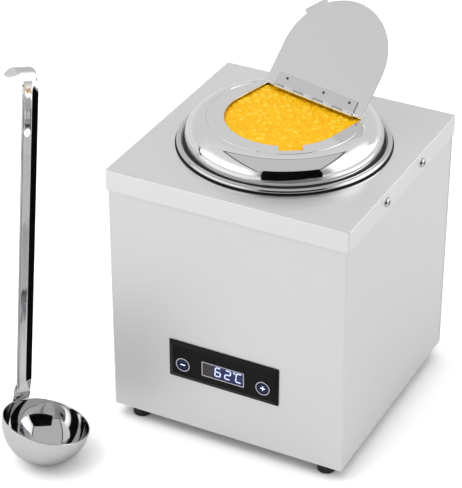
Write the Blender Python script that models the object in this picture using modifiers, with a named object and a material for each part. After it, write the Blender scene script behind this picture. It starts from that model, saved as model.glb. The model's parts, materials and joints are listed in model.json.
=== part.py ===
"""Square table-top soup kettle: heated case, lift-out pot, domed lid with a hinged flap, and its ladle."""

import math

import bmesh
import bpy
from mathutils import Matrix, Vector

# Clearances shared by all pieces
SEAT_GAP = 0.0003
CUT_OVERRUN = 0.002
WELD_DISTANCE = 0.00001

# Case
CASE_WIDTH = 0.250
CASE_HEIGHT = 0.267
CAP_SHEET = 0.0010
CAP_EDGE_RADIUS = 0.0012
SKIRT_HEIGHT = 0.0217
SKIRT_CLEARANCE = 0.0004
WRAP_SHEET = 0.0010
WRAP_CORNER_RADIUS = 0.0020
REAR_FLANGE = 0.016
REAR_SHEET = 0.0010
REAR_SCREW_END_INSET = 0.032
BASE_SHEET = 0.0012
BASE_FLANGE = 0.012
BASE_FOLD_RADIUS = 0.0020
VENT_LENGTH = 0.060
VENT_WIDTH = 0.004
VENT_PITCH = 0.012
VENT_COUNT = 5

# Feet
FOOT_HEIGHT = 0.015
FOOT_TOP_RADIUS = 0.0098
FOOT_BOTTOM_RADIUS = 0.0090
FOOT_SIDE_INSET = 0.022
FOOT_FRONT_INSET = 0.0165
FOOT_RECESS_RADIUS = 0.0050
FOOT_RECESS_DEPTH = 0.0070
FOOT_SCREW_RADIUS = 0.0020
FOOT_SCREW_HEAD_RADIUS = 0.0038
FOOT_SCREW_HEAD_HEIGHT = 0.0024
FOOT_SCREW_REACH = 0.0050

# Screws of the skirt and the rear panel
SKIRT_SCREW_SPACING_SHARE = 0.3328
SKIRT_SCREW_DROP = 0.0120
SKIRT_SCREW_RADIUS = 0.0024
SKIRT_SCREW_HEAD_RADIUS = 0.00475
SKIRT_SCREW_HEAD_HEIGHT = 0.0024
SKIRT_SCREW_REACH = 0.0060
REAR_SCREW_RADIUS = 0.0015
REAR_SCREW_HEAD_RADIUS = 0.0030
REAR_SCREW_HEAD_HEIGHT = 0.0018
REAR_SCREW_REACH = 0.0050

# Pot and the well it hangs in
CAP_BORDER = 0.0220
BEAD_WIDTH_TO_WALL = 0.0118
ROOM_UNDER_POT = 0.0870
BEAD_TUBE_RADIUS = 0.0027
BEAD_START = math.radians(167)
POT_SHEET = 0.0008
POT_CORNER_RADIUS = 0.020
POT_LEDGE_HEIGHT = 0.0026
POT_LEDGE_RADIUS = 0.0020
WELL_CLEARANCE = 0.0035
WELL_SHEET = 0.0008
WELL_CORNER_RADIUS = 0.012
WELL_FLOOR_CLEARANCE = 0.0060
WELL_FLANGE = 0.011
CAP_OPENING_CLEARANCE = 0.0010

# Lid
LID_TURN = math.radians(-14.14)
LID_SHEET = 0.0009
LID_HEIGHT = 0.0275
LID_WALL_INSET = 0.0080
LID_FLANGE_INSET = 0.0060
LID_SHOULDER_SHARE = 0.1845
LID_FILLET_RADIUS = 0.0010
OPENING_SHARE = 0.566
OPENING_CENTRE_X = 0.0012
NOTCH_WIDTH = 0.0230
NOTCH_DEPTH = 0.0097
NOTCH_ANGLE = math.radians(-45.0)

# Hinge and flap
HINGE_BACK_SHARE = 0.3893
HINGE_RISE = 0.0015
HINGE_CENTRE_X = 0.0020
HINGE_LENGTH_SHARE = 0.932
KNUCKLE_COUNT = 8
KNUCKLE_RADIUS = 0.0020
PIN_RADIUS = 0.0010
PIN_HEAD_RADIUS = 0.0018
PIN_HEAD_LENGTH = 0.0008
LEAF_SHEET = 0.0008
LEAF_WIDTH = 0.0140
FLAP_SHEET = 0.0010
FLAP_SIDE_LAP = 0.0011
FLAP_FRONT_LAP = 0.0046
FLAP_CENTRE_X = 0.0014
FLAP_SETBACK = 0.0027
FLAP_OPEN_ANGLE = math.radians(131.2)
TAB_WIDTH = 0.0245
TAB_REACH = 0.0042
TAB_ANGLE = math.radians(-135.0)
TAB_ROOT = 0.0150
CHORD_CLEARANCE = 0.0004
RIVET_SHARES = (-0.36, 0.108, 0.435)
RIVET_SETBACK = 0.0100
RIVET_RADIUS = 0.0010
RIVET_HEAD_RADIUS = 0.0020
RIVET_HEAD_HEIGHT = 0.0006

# Control panel on the front
PANEL_WIDTH = 0.1173
PANEL_HEIGHT = 0.0421
PANEL_DROP = 0.1909
PANEL_CENTRE_X = -0.0013
PANEL_PROUD = 0.0024
PANEL_CHAMFER = 0.0042
PANEL_BODY_WALL = 0.0020
PANEL_BODY_INSET = 0.0035
PANEL_BODY_DEPTH = 0.0070
PANEL_BODY_LAP = 0.0006
PANEL_FACE = 0.0018
WINDOW_WIDTH = 0.0455
WINDOW_HEIGHT = 0.0165
WINDOW_DROP = 0.0018
WINDOW_THICKNESS = 0.0015
BUTTON_RADIUS = 0.0077
BUTTON_SPACING = 0.0858
BUTTON_DROP = 0.0038
BUTTON_PROUD = 0.0006
BUTTON_TRAVEL = 0.0010
BUTTON_FLANGE_RADIUS = 0.0088
BUTTON_FLANGE = 0.0010
BUTTON_STEM_RADIUS = 0.0020
BOARD_SHEET = 0.0016
SWITCH_SIZE = 0.0060
BOARD_CHIP_SHARES = ((-0.22, 0.30), (0.20, -0.28), (0.34, 0.22))
CHIP_WIDTH = 0.012
CHIP_HEIGHT = 0.007
CHIP_DEPTH = 0.003

# Heating and wiring inside the case
HEATER_INSET = 0.0275
HEATER_THICKNESS = 0.008
ELEMENT_INSET = 0.016
ELEMENT_RADIUS = 0.0033
ELEMENT_OPENING = math.radians(30.0)
ELEMENT_LEG = 0.018
CLAMP_INSET = 0.008
CLAMP_SHEET = 0.0015
CLAMP_BOLT_RADIUS = 0.0030
CLAMP_BOLT_HEAD_RADIUS = 0.0055
CLAMP_BOLT_HEAD_HEIGHT = 0.0040
SLEEVE_THICKNESS = 0.016
SLEEVE_END_INSET = 0.040
PROBE_RADIUS = 0.0030
PROBE_LENGTH = 0.030
PROBE_ANGLE = math.radians(200.0)
CUTOUT_RADIUS = 0.0080
CUTOUT_LENGTH = 0.0100
CUTOUT_ANGLE = math.radians(150.0)
CUTOUT_RISE = 0.012
POWER_BOARD_WIDTH = 0.080
POWER_BOARD_DEPTH = 0.055
POWER_BOARD_X = 0.030
POWER_BOARD_Y = -0.045
STANDOFF_RADIUS = 0.0030
STANDOFF_HEIGHT = 0.0060
STANDOFF_INSET = 0.005
TRANSFORMER_WIDTH = 0.032
TRANSFORMER_DEPTH = 0.028
TRANSFORMER_HEIGHT = 0.024
TRANSFORMER_SHIFT = -0.016
RELAY_WIDTH = 0.020
RELAY_DEPTH = 0.016
RELAY_HEIGHT = 0.015
RELAY_SHIFT = 0.020
TERMINAL_WIDTH = 0.040
TERMINAL_DEPTH = 0.020
TERMINAL_HEIGHT = 0.016
TERMINAL_X = 0.055
TERMINAL_Y = 0.078
TERMINAL_POCKET = 0.008
LEAD_RADIUS = 0.0015
LEAD_BOW = 0.006
GLAND_X = 0.055
GLAND_RISE = 0.030
GLAND_BORE = 0.0036
GLAND_SHANK_RADIUS = 0.0075
GLAND_HEAD_RADIUS = 0.0105
GLAND_HEAD_LENGTH = 0.008
GLAND_NOSE_RADIUS = 0.0070
GLAND_NOSE_LENGTH = 0.007
GLAND_NUT_LENGTH = 0.005
GLAND_NUT_RADIUS = 0.0110

# Ladle that stands beside the kettle
LADLE_X = -0.1468
LADLE_Y = -0.2143
LADLE_HEADING = math.radians(155.64)
LADLE_PITCH = math.radians(-2.75)
LADLE_ROLL = math.radians(15.1)
BOWL_RADIUS = 0.0428
BOWL_SHEET = 0.0010
HANDLE_SHEET = 0.0015
HANDLE_TOP_WIDTH = 0.0210
HANDLE_NECK_WIDTH = 0.0192
HANDLE_SLOPE = math.radians(17.1)
HANDLE_LENGTH = 0.3030
HANDLE_NECK_RISE = 0.0045
HANDLE_NECK_BEND = 0.0045
HANDLE_LAP_ANGLE = math.radians(24.0)
HANDLE_NECK_CORNER = 0.0030
HOOK_RADIUS = 0.0110
HOOK_ANGLE = math.radians(123.0)
HOOK_TAIL = 0.0170
HANDLE_HOLE_RADIUS = 0.0040
HANDLE_HOLE_BACK = 0.0500
ROUND_END_SHARES = (0.02, 0.2, 0.5)

# Facets
ROUND_STEPS = 40
SMALL_STEPS = 16
SCREW_STEPS = 12
FILLET_STEPS = 3

# Sizes that follow from those above
CAP_TOP = FOOT_HEIGHT + CASE_HEIGHT
CAP_UNDERSIDE = CAP_TOP - CAP_SHEET
CASING_HALF = CASE_WIDTH / 2 - CAP_SHEET - SKIRT_CLEARANCE
CASING_TOP = CAP_UNDERSIDE - SEAT_GAP
CASING_INNER = CASING_HALF - WRAP_SHEET
FLANGE_Y = CASING_HALF - REAR_SHEET - SEAT_GAP
SKIRT_SCREW_SPACING = SKIRT_SCREW_SPACING_SHARE * CASE_WIDTH
BEAD_OUTER_RADIUS = CASE_WIDTH / 2 - CAP_BORDER
BEAD_RADIUS = BEAD_OUTER_RADIUS - BEAD_TUBE_RADIUS
BEAD_RISE = SEAT_GAP + BEAD_TUBE_RADIUS
POT_INNER_RADIUS = BEAD_OUTER_RADIUS - BEAD_WIDTH_TO_WALL
POT_DEPTH = CASE_HEIGHT - ROOM_UNDER_POT
WELL_RADIUS = POT_INNER_RADIUS + POT_SHEET + WELL_CLEARANCE
WELL_TOP = CAP_UNDERSIDE - SEAT_GAP
POT_FLOOR = CAP_TOP + POT_LEDGE_HEIGHT - POT_DEPTH
WELL_FLOOR = POT_FLOOR - POT_SHEET - WELL_FLOOR_CLEARANCE
WELL_UNDERSIDE = WELL_FLOOR - WELL_SHEET
HEATER_RADIUS = WELL_RADIUS - HEATER_INSET
ELEMENT_RING_RADIUS = HEATER_RADIUS - ELEMENT_INSET
CLAMP_RADIUS = HEATER_RADIUS - CLAMP_INSET
SLEEVE_HEIGHT = POT_DEPTH - SLEEVE_END_INSET
LID_SEAT = POT_LEDGE_HEIGHT + SEAT_GAP
LID_WALL_RADIUS = BEAD_OUTER_RADIUS - LID_WALL_INSET
LID_FLANGE_RADIUS = BEAD_OUTER_RADIUS - LID_FLANGE_INSET
LID_WALL_HEIGHT = LID_HEIGHT - LID_SEAT - 2 * LID_SHEET - LID_FILLET_RADIUS
LID_SHOULDER_RADIUS = min(LID_SHOULDER_SHARE * BEAD_OUTER_RADIUS, LID_WALL_HEIGHT)
OPENING_RADIUS = OPENING_SHARE * BEAD_OUTER_RADIUS
NOTCH_REACH = OPENING_RADIUS + NOTCH_DEPTH
HINGE_BACK = HINGE_BACK_SHARE * BEAD_OUTER_RADIUS
HINGE_LENGTH = HINGE_LENGTH_SHARE * BEAD_OUTER_RADIUS
FLAP_RADIUS = OPENING_RADIUS + FLAP_SIDE_LAP
FLAP_LENGTH = HINGE_BACK + OPENING_RADIUS + FLAP_FRONT_LAP
PANEL_Z = CAP_TOP - PANEL_DROP
PANEL_BACK = -CASING_HALF - SEAT_GAP
PANEL_FRONT = PANEL_BACK - PANEL_PROUD
PANEL_INNER = PANEL_FRONT + PANEL_FACE
BODY_WIDTH = PANEL_WIDTH - 2 * PANEL_BODY_INSET
BODY_HEIGHT = PANEL_HEIGHT - 2 * PANEL_BODY_INSET
BODY_BACK = -CASING_HALF + PANEL_BODY_DEPTH
BASE_TOP = FOOT_HEIGHT + BASE_SHEET
KNUCKLE_LENGTH = HINGE_LENGTH / KNUCKLE_COUNT
CHORD_BACK = HINGE_BACK + KNUCKLE_RADIUS + CHORD_CLEARANCE


def clear_scene():
    for obj in list(bpy.data.objects):
        bpy.data.objects.remove(obj, do_unlink=True)


clear_scene()
parts = bpy.data.collections.new("soup_kettle_warmer")
cutters = bpy.data.collections.new("cutters")
for group in (parts, cutters):
    bpy.context.scene.collection.children.link(group)


def paint(name, colour, roughness, metallic):
    """A Principled material of one colour."""
    made = bpy.data.materials.new(name)
    made.use_nodes = True
    shader = made.node_tree.nodes["Principled BSDF"]
    shader.inputs["Base Color"].default_value = (*colour, 1)
    shader.inputs["Roughness"].default_value = roughness
    shader.inputs["Metallic"].default_value = metallic
    made.diffuse_color = (*colour, 1)
    return made


BRUSHED = paint("brushed_stainless", (0.78, 0.78, 0.78), 0.32, 1.0)
POLISHED = paint("polished_stainless", (0.84, 0.84, 0.84), 0.06, 1.0)
HINGE_STEEL = paint("hinge_stainless", (0.62, 0.62, 0.62), 0.25, 1.0)
SCREW_STEEL = paint("screw_steel", (0.55, 0.55, 0.55), 0.30, 1.0)
GALVANISED = paint("galvanised_sheet", (0.55, 0.56, 0.57), 0.50, 1.0)
ALUMINIUM = paint("cast_aluminium", (0.66, 0.66, 0.66), 0.45, 1.0)
RUBBER = paint("black_rubber", (0.02, 0.02, 0.02), 0.80, 0.0)
BLACK_PLASTIC = paint("black_plastic", (0.015, 0.015, 0.015), 0.35, 0.0)
SMOKED = paint("smoked_window", (0.02, 0.02, 0.05), 0.10, 0.0)
BUTTON_BLUE = paint("button_blue", (0.02, 0.03, 0.12), 0.30, 0.0)
BOARD_GREEN = paint("board_green", (0.02, 0.20, 0.08), 0.50, 0.0)
WOOL = paint("insulation_wool", (0.80, 0.74, 0.55), 0.95, 0.0)
WHITE_PLASTIC = paint("white_plastic", (0.80, 0.80, 0.78), 0.45, 0.0)
LEAD_RED = paint("lead_insulation", (0.45, 0.03, 0.02), 0.50, 0.0)


def empty(name, parent, location=(0, 0, 0), rotation=(0, 0, 0)):
    """A frame that pieces are placed in. It isn't a piece."""
    made = bpy.data.objects.new(name, None)
    parts.objects.link(made)
    made.parent = parent
    made.location = location
    made.rotation_euler = rotation
    made.empty_display_size = SKIRT_HEIGHT
    return made


def place(name, mesh, colour, parent, location=(0, 0, 0), rotation=(0, 0, 0)):
    """A mesh as an object. With no colour it is a cutter, which stays out of the object."""
    made = bpy.data.objects.new(name, mesh)
    made.parent = parent
    made.location = location
    made.rotation_euler = rotation
    if colour is None:
        cutters.objects.link(made)
        made.hide_render = True
        made.display_type = "WIRE"
        return made
    parts.objects.link(made)
    mesh.materials.append(colour)
    return made


def block_mesh(name, size):
    made = bmesh.new()
    bmesh.ops.create_cube(made, size=1.0, matrix=Matrix.Diagonal((*size, 1.0)))
    mesh = bpy.data.meshes.new(name)
    made.to_mesh(mesh)
    made.free()
    return mesh


def block(name, size, colour, parent, location=(0, 0, 0), rotation=(0, 0, 0)):
    return place(name, block_mesh(name, size), colour, parent, location, rotation)


def rod(name, radius, length, colour, parent, location=(0, 0, 0), rotation=(0, 0, 0), sides=SCREW_STEPS):
    """A cylinder along its own Z, centred on its location."""
    made = bmesh.new()
    bmesh.ops.create_cone(made, cap_ends=True, segments=sides, radius1=radius, radius2=radius, depth=length)
    mesh = bpy.data.meshes.new(name)
    made.to_mesh(mesh)
    made.free()
    mesh.shade_smooth()
    mesh.set_sharp_from_angle(angle=math.radians(40))
    return place(name, mesh, colour, parent, location, rotation)


def turned(
    name, profile, colour, parent, location=(0, 0, 0), rotation=(0, 0, 0), closed=False, steps=ROUND_STEPS
):
    """A shape turned about its own Z from points (radius, height)."""
    made = bmesh.new()
    points = [made.verts.new((radius, 0, height)) for radius, height in profile]
    for first, second in zip(points, points[1:]):
        made.edges.new((first, second))
    if closed:
        made.edges.new((points[-1], points[0]))
    mesh = bpy.data.meshes.new(name)
    made.to_mesh(mesh)
    made.free()
    result = place(name, mesh, colour, parent, location, rotation)
    screw = result.modifiers.new("turn", "SCREW")
    screw.steps = steps
    screw.render_steps = steps
    screw.use_merge_vertices = True
    screw.merge_threshold = WELD_DISTANCE
    screw.use_smooth_shade = True
    return result


def fold(obj, radius):
    """Rounds the folds of a sheet before it gets its thickness."""
    edge = obj.modifiers.new("folds", "BEVEL")
    edge.width = radius
    edge.segments = 2


def shell(obj, thickness):
    """Gives an open surface its sheet thickness, on the side away from its normals."""
    solid = obj.modifiers.new("sheet", "SOLIDIFY")
    solid.thickness = thickness
    solid.offset = -1.0
    solid.use_even_offset = True


def cut(obj, cutter):
    step = obj.modifiers.new("cut " + cutter.name, "BOOLEAN")
    step.operation = "DIFFERENCE"
    step.object = cutter


def join(obj, other):
    step = obj.modifiers.new("join " + other.name, "BOOLEAN")
    step.operation = "UNION"
    step.object = other


def arc(centre, radius, start, end, steps):
    """Points (x, y) on an arc, angles in radians from the first axis towards the second."""
    points = []
    for index in range(steps + 1):
        angle = start + (end - start) * index / steps
        points.append((centre[0] + radius * math.cos(angle), centre[1] + radius * math.sin(angle)))
    return points


def plate(name, outline, thickness, colour, parent, location=(0, 0, 0), rotation=(0, 0, 0)):
    """A flat piece: the outline in its own XY plane, with half the thickness on each side."""
    curve = bpy.data.curves.new(name, "CURVE")
    curve.dimensions = "2D"
    curve.fill_mode = "BOTH"
    curve.extrude = thickness / 2
    spline = curve.splines.new("POLY")
    spline.points.add(len(outline) - 1)
    for point, (x, y) in zip(spline.points, outline):
        point.co = (x, y, 0, 1)
    spline.use_cyclic_u = True
    drawn = bpy.data.objects.new(name + "_outline", curve)
    parts.objects.link(drawn)
    mesh = mesh_of(drawn, name)
    bpy.data.objects.remove(drawn, do_unlink=True)
    return place(name, mesh, colour, parent, location, rotation)


def mesh_of(drawn, name):
    """The closed mesh of a curve object, its caps welded to its sides."""
    bpy.context.view_layer.update()
    graph = bpy.context.evaluated_depsgraph_get()
    mesh = bpy.data.meshes.new_from_object(drawn.evaluated_get(graph))
    mesh.name = name
    mesh.materials.clear()
    welded = bmesh.new()
    welded.from_mesh(mesh)
    bmesh.ops.remove_doubles(welded, verts=welded.verts, dist=WELD_DISTANCE)
    bmesh.ops.recalc_face_normals(welded, faces=welded.faces)
    welded.to_mesh(mesh)
    welded.free()
    return mesh


def tube(name, points, radius, colour, parent, location=(0, 0, 0), rotation=(0, 0, 0)):
    """A round tube along points, with flat ends."""
    curve = bpy.data.curves.new(name, "CURVE")
    curve.dimensions = "3D"
    curve.bevel_depth = radius
    curve.bevel_resolution = 2
    curve.use_fill_caps = True
    spline = curve.splines.new("POLY")
    spline.points.add(len(points) - 1)
    for point, place_at in zip(spline.points, points):
        point.co = (*place_at, 1)
    drawn = bpy.data.objects.new(name + "_path", curve)
    parts.objects.link(drawn)
    mesh = mesh_of(drawn, name)
    bpy.data.objects.remove(drawn, do_unlink=True)
    mesh.shade_smooth()
    mesh.set_sharp_from_angle(angle=math.radians(50))
    return place(name, mesh, colour, parent, location, rotation)


def smooth_path(knots, steps):
    """Points of a smooth curve through the knots."""
    points = []
    for index in range(len(knots) - 1):
        before = Vector(knots[max(index - 1, 0)])
        start = Vector(knots[index])
        end = Vector(knots[index + 1])
        after = Vector(knots[min(index + 2, len(knots) - 1)])
        for step in range(steps):
            t = step / steps
            points.append(
                0.5 * (2 * start + (end - before) * t
                       + (2 * before - 5 * start + 4 * end - after) * t ** 2
                       + (3 * start - before - 3 * end + after) * t ** 3)
            )
    points.append(Vector(knots[-1]))
    return points


ALONG_X = (0, math.radians(90), 0)
ALONG_Y = (math.radians(90), 0, 0)

stand = empty("kettle", None)
pot_frame = empty("pot_frame", stand, location=(0, 0, CAP_TOP))
lid_frame = empty("lid_frame", pot_frame, rotation=(0, 0, LID_TURN))
flap_frame = empty(
    "flap_frame",
    lid_frame,
    location=(0, HINGE_BACK, LID_HEIGHT + HINGE_RISE),
    rotation=(-FLAP_OPEN_ANGLE, 0, 0),
)


# Top cover: a cap with a turned-down skirt and a round opening
def top_cover():
    made = bmesh.new()
    size = (CASE_WIDTH, CASE_WIDTH, SKIRT_HEIGHT)
    bmesh.ops.create_cube(made, size=1.0, matrix=Matrix.Diagonal((*size, 1.0)))
    below = [face for face in made.faces if face.calc_center_median().z < -SKIRT_HEIGHT / 3]
    bmesh.ops.delete(made, geom=below, context="FACES_ONLY")
    mesh = bpy.data.meshes.new("top_cover")
    made.to_mesh(mesh)
    made.free()
    cap = place("top_cover", mesh, BRUSHED, stand, location=(0, 0, CAP_TOP - SKIRT_HEIGHT / 2))
    fold(cap, CAP_EDGE_RADIUS)
    shell(cap, CAP_SHEET)
    opening = rod(
        "cap_opening_cutter",
        WELL_RADIUS + CAP_OPENING_CLEARANCE,
        SKIRT_HEIGHT,
        None,
        stand,
        location=(0, 0, CAP_TOP),
        sides=ROUND_STEPS,
    )
    cut(cap, opening)
    return cap


def case_half_outline():
    """The folded casing sheet seen from above, from its left rear flange round to the right one."""
    half = CASING_HALF
    inner = CASING_INNER
    outer_fold = WRAP_CORNER_RADIUS
    inner_fold = WRAP_CORNER_RADIUS - WRAP_SHEET
    quarter = math.pi / 2
    outer = half - outer_fold
    within = inner - inner_fold
    lip = half - REAR_FLANGE
    behind = FLANGE_Y - WRAP_SHEET
    outline = [(-lip, FLANGE_Y), (-half, FLANGE_Y)]
    outline += arc((-outer, -outer), outer_fold, -2 * quarter, -quarter, FILLET_STEPS)
    outline += arc((outer, -outer), outer_fold, -quarter, 0, FILLET_STEPS)
    outline += [(half, FLANGE_Y), (lip, FLANGE_Y), (lip, behind), (inner, behind)]
    outline += arc((within, -within), inner_fold, 0, -quarter, FILLET_STEPS)
    outline += arc((-within, -within), inner_fold, -quarter, -2 * quarter, FILLET_STEPS)
    outline += [(-inner, behind), (-lip, behind)]
    return outline


# Casing wrap: front and sides folded from one sheet, with flanges for the rear panel
def casing_wrap():
    height = CASING_TOP - FOOT_HEIGHT
    wrap = plate(
        "casing_wrap",
        case_half_outline(),
        height,
        BRUSHED,
        stand,
        location=(0, 0, FOOT_HEIGHT + height / 2),
    )
    window = block(
        "panel_hole_cutter",
        (BODY_WIDTH + 2 * SEAT_GAP, WRAP_SHEET + 2 * CUT_OVERRUN, BODY_HEIGHT + 2 * SEAT_GAP),
        None,
        stand,
        location=(PANEL_CENTRE_X, -CASING_HALF, PANEL_Z),
    )
    cut(wrap, window)
    return wrap


# Rear panel over the casing's flanges
def rear_panel():
    bottom = FOOT_HEIGHT
    height = CASING_TOP - bottom
    panel = block(
        "rear_panel",
        (2 * CASING_HALF, REAR_SHEET, height),
        BRUSHED,
        stand,
        location=(0, CASING_HALF - REAR_SHEET / 2, bottom + height / 2),
    )
    return panel


# Base plate: a shallow tray inside the casing, with vent slots
def base_plate():
    half = CASING_INNER - SEAT_GAP
    back = FLANGE_Y - WRAP_SHEET - SEAT_GAP
    made = bmesh.new()
    size = (2 * half, half + back, BASE_FLANGE)
    bmesh.ops.create_cube(made, size=1.0, matrix=Matrix.Diagonal((*size, 1.0)))
    above = [face for face in made.faces if face.calc_center_median().z > BASE_FLANGE / 3]
    bmesh.ops.delete(made, geom=above, context="FACES_ONLY")
    mesh = bpy.data.meshes.new("base_plate")
    made.to_mesh(mesh)
    made.free()
    middle = (0, (back - half) / 2, FOOT_HEIGHT + BASE_FLANGE / 2)
    tray = place("base_plate", mesh, GALVANISED, stand, location=middle)
    fold(tray, BASE_FOLD_RADIUS)
    shell(tray, BASE_SHEET)
    for index in range(VENT_COUNT):
        offset = (index - (VENT_COUNT - 1) / 2) * VENT_PITCH
        slot = block(
            f"vent_cutter_{index + 1}",
            (VENT_LENGTH, VENT_WIDTH, BASE_SHEET + 2 * CUT_OVERRUN),
            None,
            stand,
            location=(-POWER_BOARD_X, -POWER_BOARD_Y + offset, FOOT_HEIGHT),
        )
        cut(tray, slot)
    return tray


def screw_profile(shank, head, head_height, grip, reach):
    """A pan-head screw standing on its point: the head's underside is at height 0, the shank below it."""
    dome = arc((head - head_height / 2, head_height / 2), head_height / 2, math.pi / 2, 0, FILLET_STEPS - 1)
    bottom = -(grip + reach)
    profile = [(0, head_height)] + dome + [(head, 0), (shank, 0), (shank, bottom + shank / 2)]
    return profile + [(shank / 2, bottom), (0, bottom)]


# Rubber feet, each held by a screw up through its recess
def feet(tray):
    half_x = CASING_HALF - FOOT_SIDE_INSET
    half_y = CASING_HALF - FOOT_FRONT_INSET
    top = FOOT_HEIGHT - SEAT_GAP
    bore = FOOT_SCREW_RADIUS + SEAT_GAP
    names = {"front_left": (-1, -1), "front_right": (1, -1), "rear_left": (-1, 1), "rear_right": (1, 1)}
    profile = [
        (bore, top),
        (FOOT_TOP_RADIUS, top),
        (FOOT_BOTTOM_RADIUS, 0),
        (FOOT_RECESS_RADIUS, 0),
        (FOOT_RECESS_RADIUS, FOOT_RECESS_DEPTH),
        (bore, FOOT_RECESS_DEPTH),
    ]
    screw = screw_profile(
        FOOT_SCREW_RADIUS,
        FOOT_SCREW_HEAD_RADIUS,
        FOOT_SCREW_HEAD_HEIGHT,
        BASE_TOP - FOOT_RECESS_DEPTH,
        FOOT_SCREW_REACH,
    )
    for name, (side, front) in names.items():
        spot = (side * half_x, front * half_y, 0)
        turned("foot_" + name, profile, RUBBER, stand, location=spot, closed=True, steps=SMALL_STEPS)
        seat = (spot[0], spot[1], FOOT_RECESS_DEPTH - SEAT_GAP)
        turned("foot_screw_" + name, screw, SCREW_STEEL, stand, seat, (math.pi, 0, 0), steps=SCREW_STEPS)
        hole = rod(
            "foot_hole_cutter_" + name,
            bore,
            2 * BASE_SHEET + 2 * CUT_OVERRUN,
            None,
            stand,
            location=(spot[0], spot[1], FOOT_HEIGHT),
        )
        cut(tray, hole)


# Screws through the skirt into the casing, two on each side
def skirt_screws(cap, wrap):
    profile = screw_profile(
        SKIRT_SCREW_RADIUS,
        SKIRT_SCREW_HEAD_RADIUS,
        SKIRT_SCREW_HEAD_HEIGHT,
        CASE_WIDTH / 2 - CASING_INNER,
        SKIRT_SCREW_REACH,
    )
    height = CAP_TOP - SKIRT_SCREW_DROP
    for place_name, front in (("front", -1), ("rear", 1)):
        across = front * SKIRT_SCREW_SPACING / 2
        hole = rod(
            "skirt_hole_cutter_" + place_name,
            SKIRT_SCREW_RADIUS + SEAT_GAP,
            CASE_WIDTH + 2 * CUT_OVERRUN,
            None,
            stand,
            location=(0, across, height),
            rotation=ALONG_X,
        )
        cut(cap, hole)
        cut(wrap, hole)
        for side_name, side in (("left", -1), ("right", 1)):
            turned(
                f"skirt_screw_{side_name}_{place_name}",
                profile,
                SCREW_STEEL,
                stand,
                location=(side * (CASE_WIDTH / 2 + SEAT_GAP), across, height),
                rotation=(0, side * math.pi / 2, 0),
                steps=SCREW_STEPS,
            )


# Screws of the rear panel, into the casing's flanges
def rear_screws(panel, wrap):
    profile = screw_profile(
        REAR_SCREW_RADIUS,
        REAR_SCREW_HEAD_RADIUS,
        REAR_SCREW_HEAD_HEIGHT,
        REAR_SHEET + WRAP_SHEET + 2 * SEAT_GAP,
        REAR_SCREW_REACH,
    )
    lower = FOOT_HEIGHT + REAR_SCREW_END_INSET
    upper = CASING_TOP - SKIRT_HEIGHT - REAR_SCREW_END_INSET
    for height_name, height in (("lower", lower), ("upper", upper)):
        for side_name, side in (("left", -1), ("right", 1)):
            spot = (side * (CASING_HALF - REAR_FLANGE / 2), height)
            hole = rod(
                f"rear_hole_cutter_{side_name}_{height_name}",
                REAR_SCREW_RADIUS + SEAT_GAP,
                2 * (REAR_SHEET + WRAP_SHEET) + 2 * CUT_OVERRUN,
                None,
                stand,
                location=(spot[0], CASING_HALF - REAR_SHEET, spot[1]),
                rotation=ALONG_Y,
            )
            cut(panel, hole)
            cut(wrap, hole)
            turned(
                f"rear_screw_{side_name}_{height_name}",
                profile,
                SCREW_STEEL,
                stand,
                location=(spot[0], CASING_HALF + SEAT_GAP, spot[1]),
                rotation=(-math.pi / 2, 0, 0),
                steps=SCREW_STEPS,
            )


# Heating well: a deep-drawn cup whose flange lies under the cap
def heating_well():
    corner = WELL_CORNER_RADIUS
    profile = [(0, WELL_FLOOR)]
    profile += arc((WELL_RADIUS - corner, WELL_FLOOR + corner), corner, -math.pi / 2, 0, FILLET_STEPS)
    profile += [(WELL_RADIUS, WELL_TOP), (WELL_RADIUS + WELL_FLANGE, WELL_TOP)]
    well = turned("heating_well", profile, BRUSHED, stand)
    shell(well, WELL_SHEET)
    return well


# Soup pot: lift-out pot with a ledge for the lid and a rolled bead that carries it on the cap
def soup_pot():
    floor = POT_FLOOR - CAP_TOP
    corner = POT_CORNER_RADIUS
    ledge = POT_LEDGE_RADIUS
    bead_inner = BEAD_RADIUS - BEAD_TUBE_RADIUS
    profile = [(0, floor)]
    profile += arc((POT_INNER_RADIUS - corner, floor + corner), corner, -math.pi / 2, 0, FILLET_STEPS)
    shoulder = (POT_INNER_RADIUS + ledge, POT_LEDGE_HEIGHT - ledge)
    profile += arc(shoulder, ledge, math.pi, math.pi / 2, FILLET_STEPS - 1)
    profile += [(bead_inner - POT_SHEET / 2, POT_LEDGE_HEIGHT)]
    profile += arc((BEAD_RADIUS, BEAD_RISE), BEAD_TUBE_RADIUS, BEAD_START, -math.pi / 2, 2 * FILLET_STEPS)
    pot = turned("soup_pot", profile, POLISHED, pot_frame)
    shell(pot, POT_SHEET)
    return pot


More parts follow.
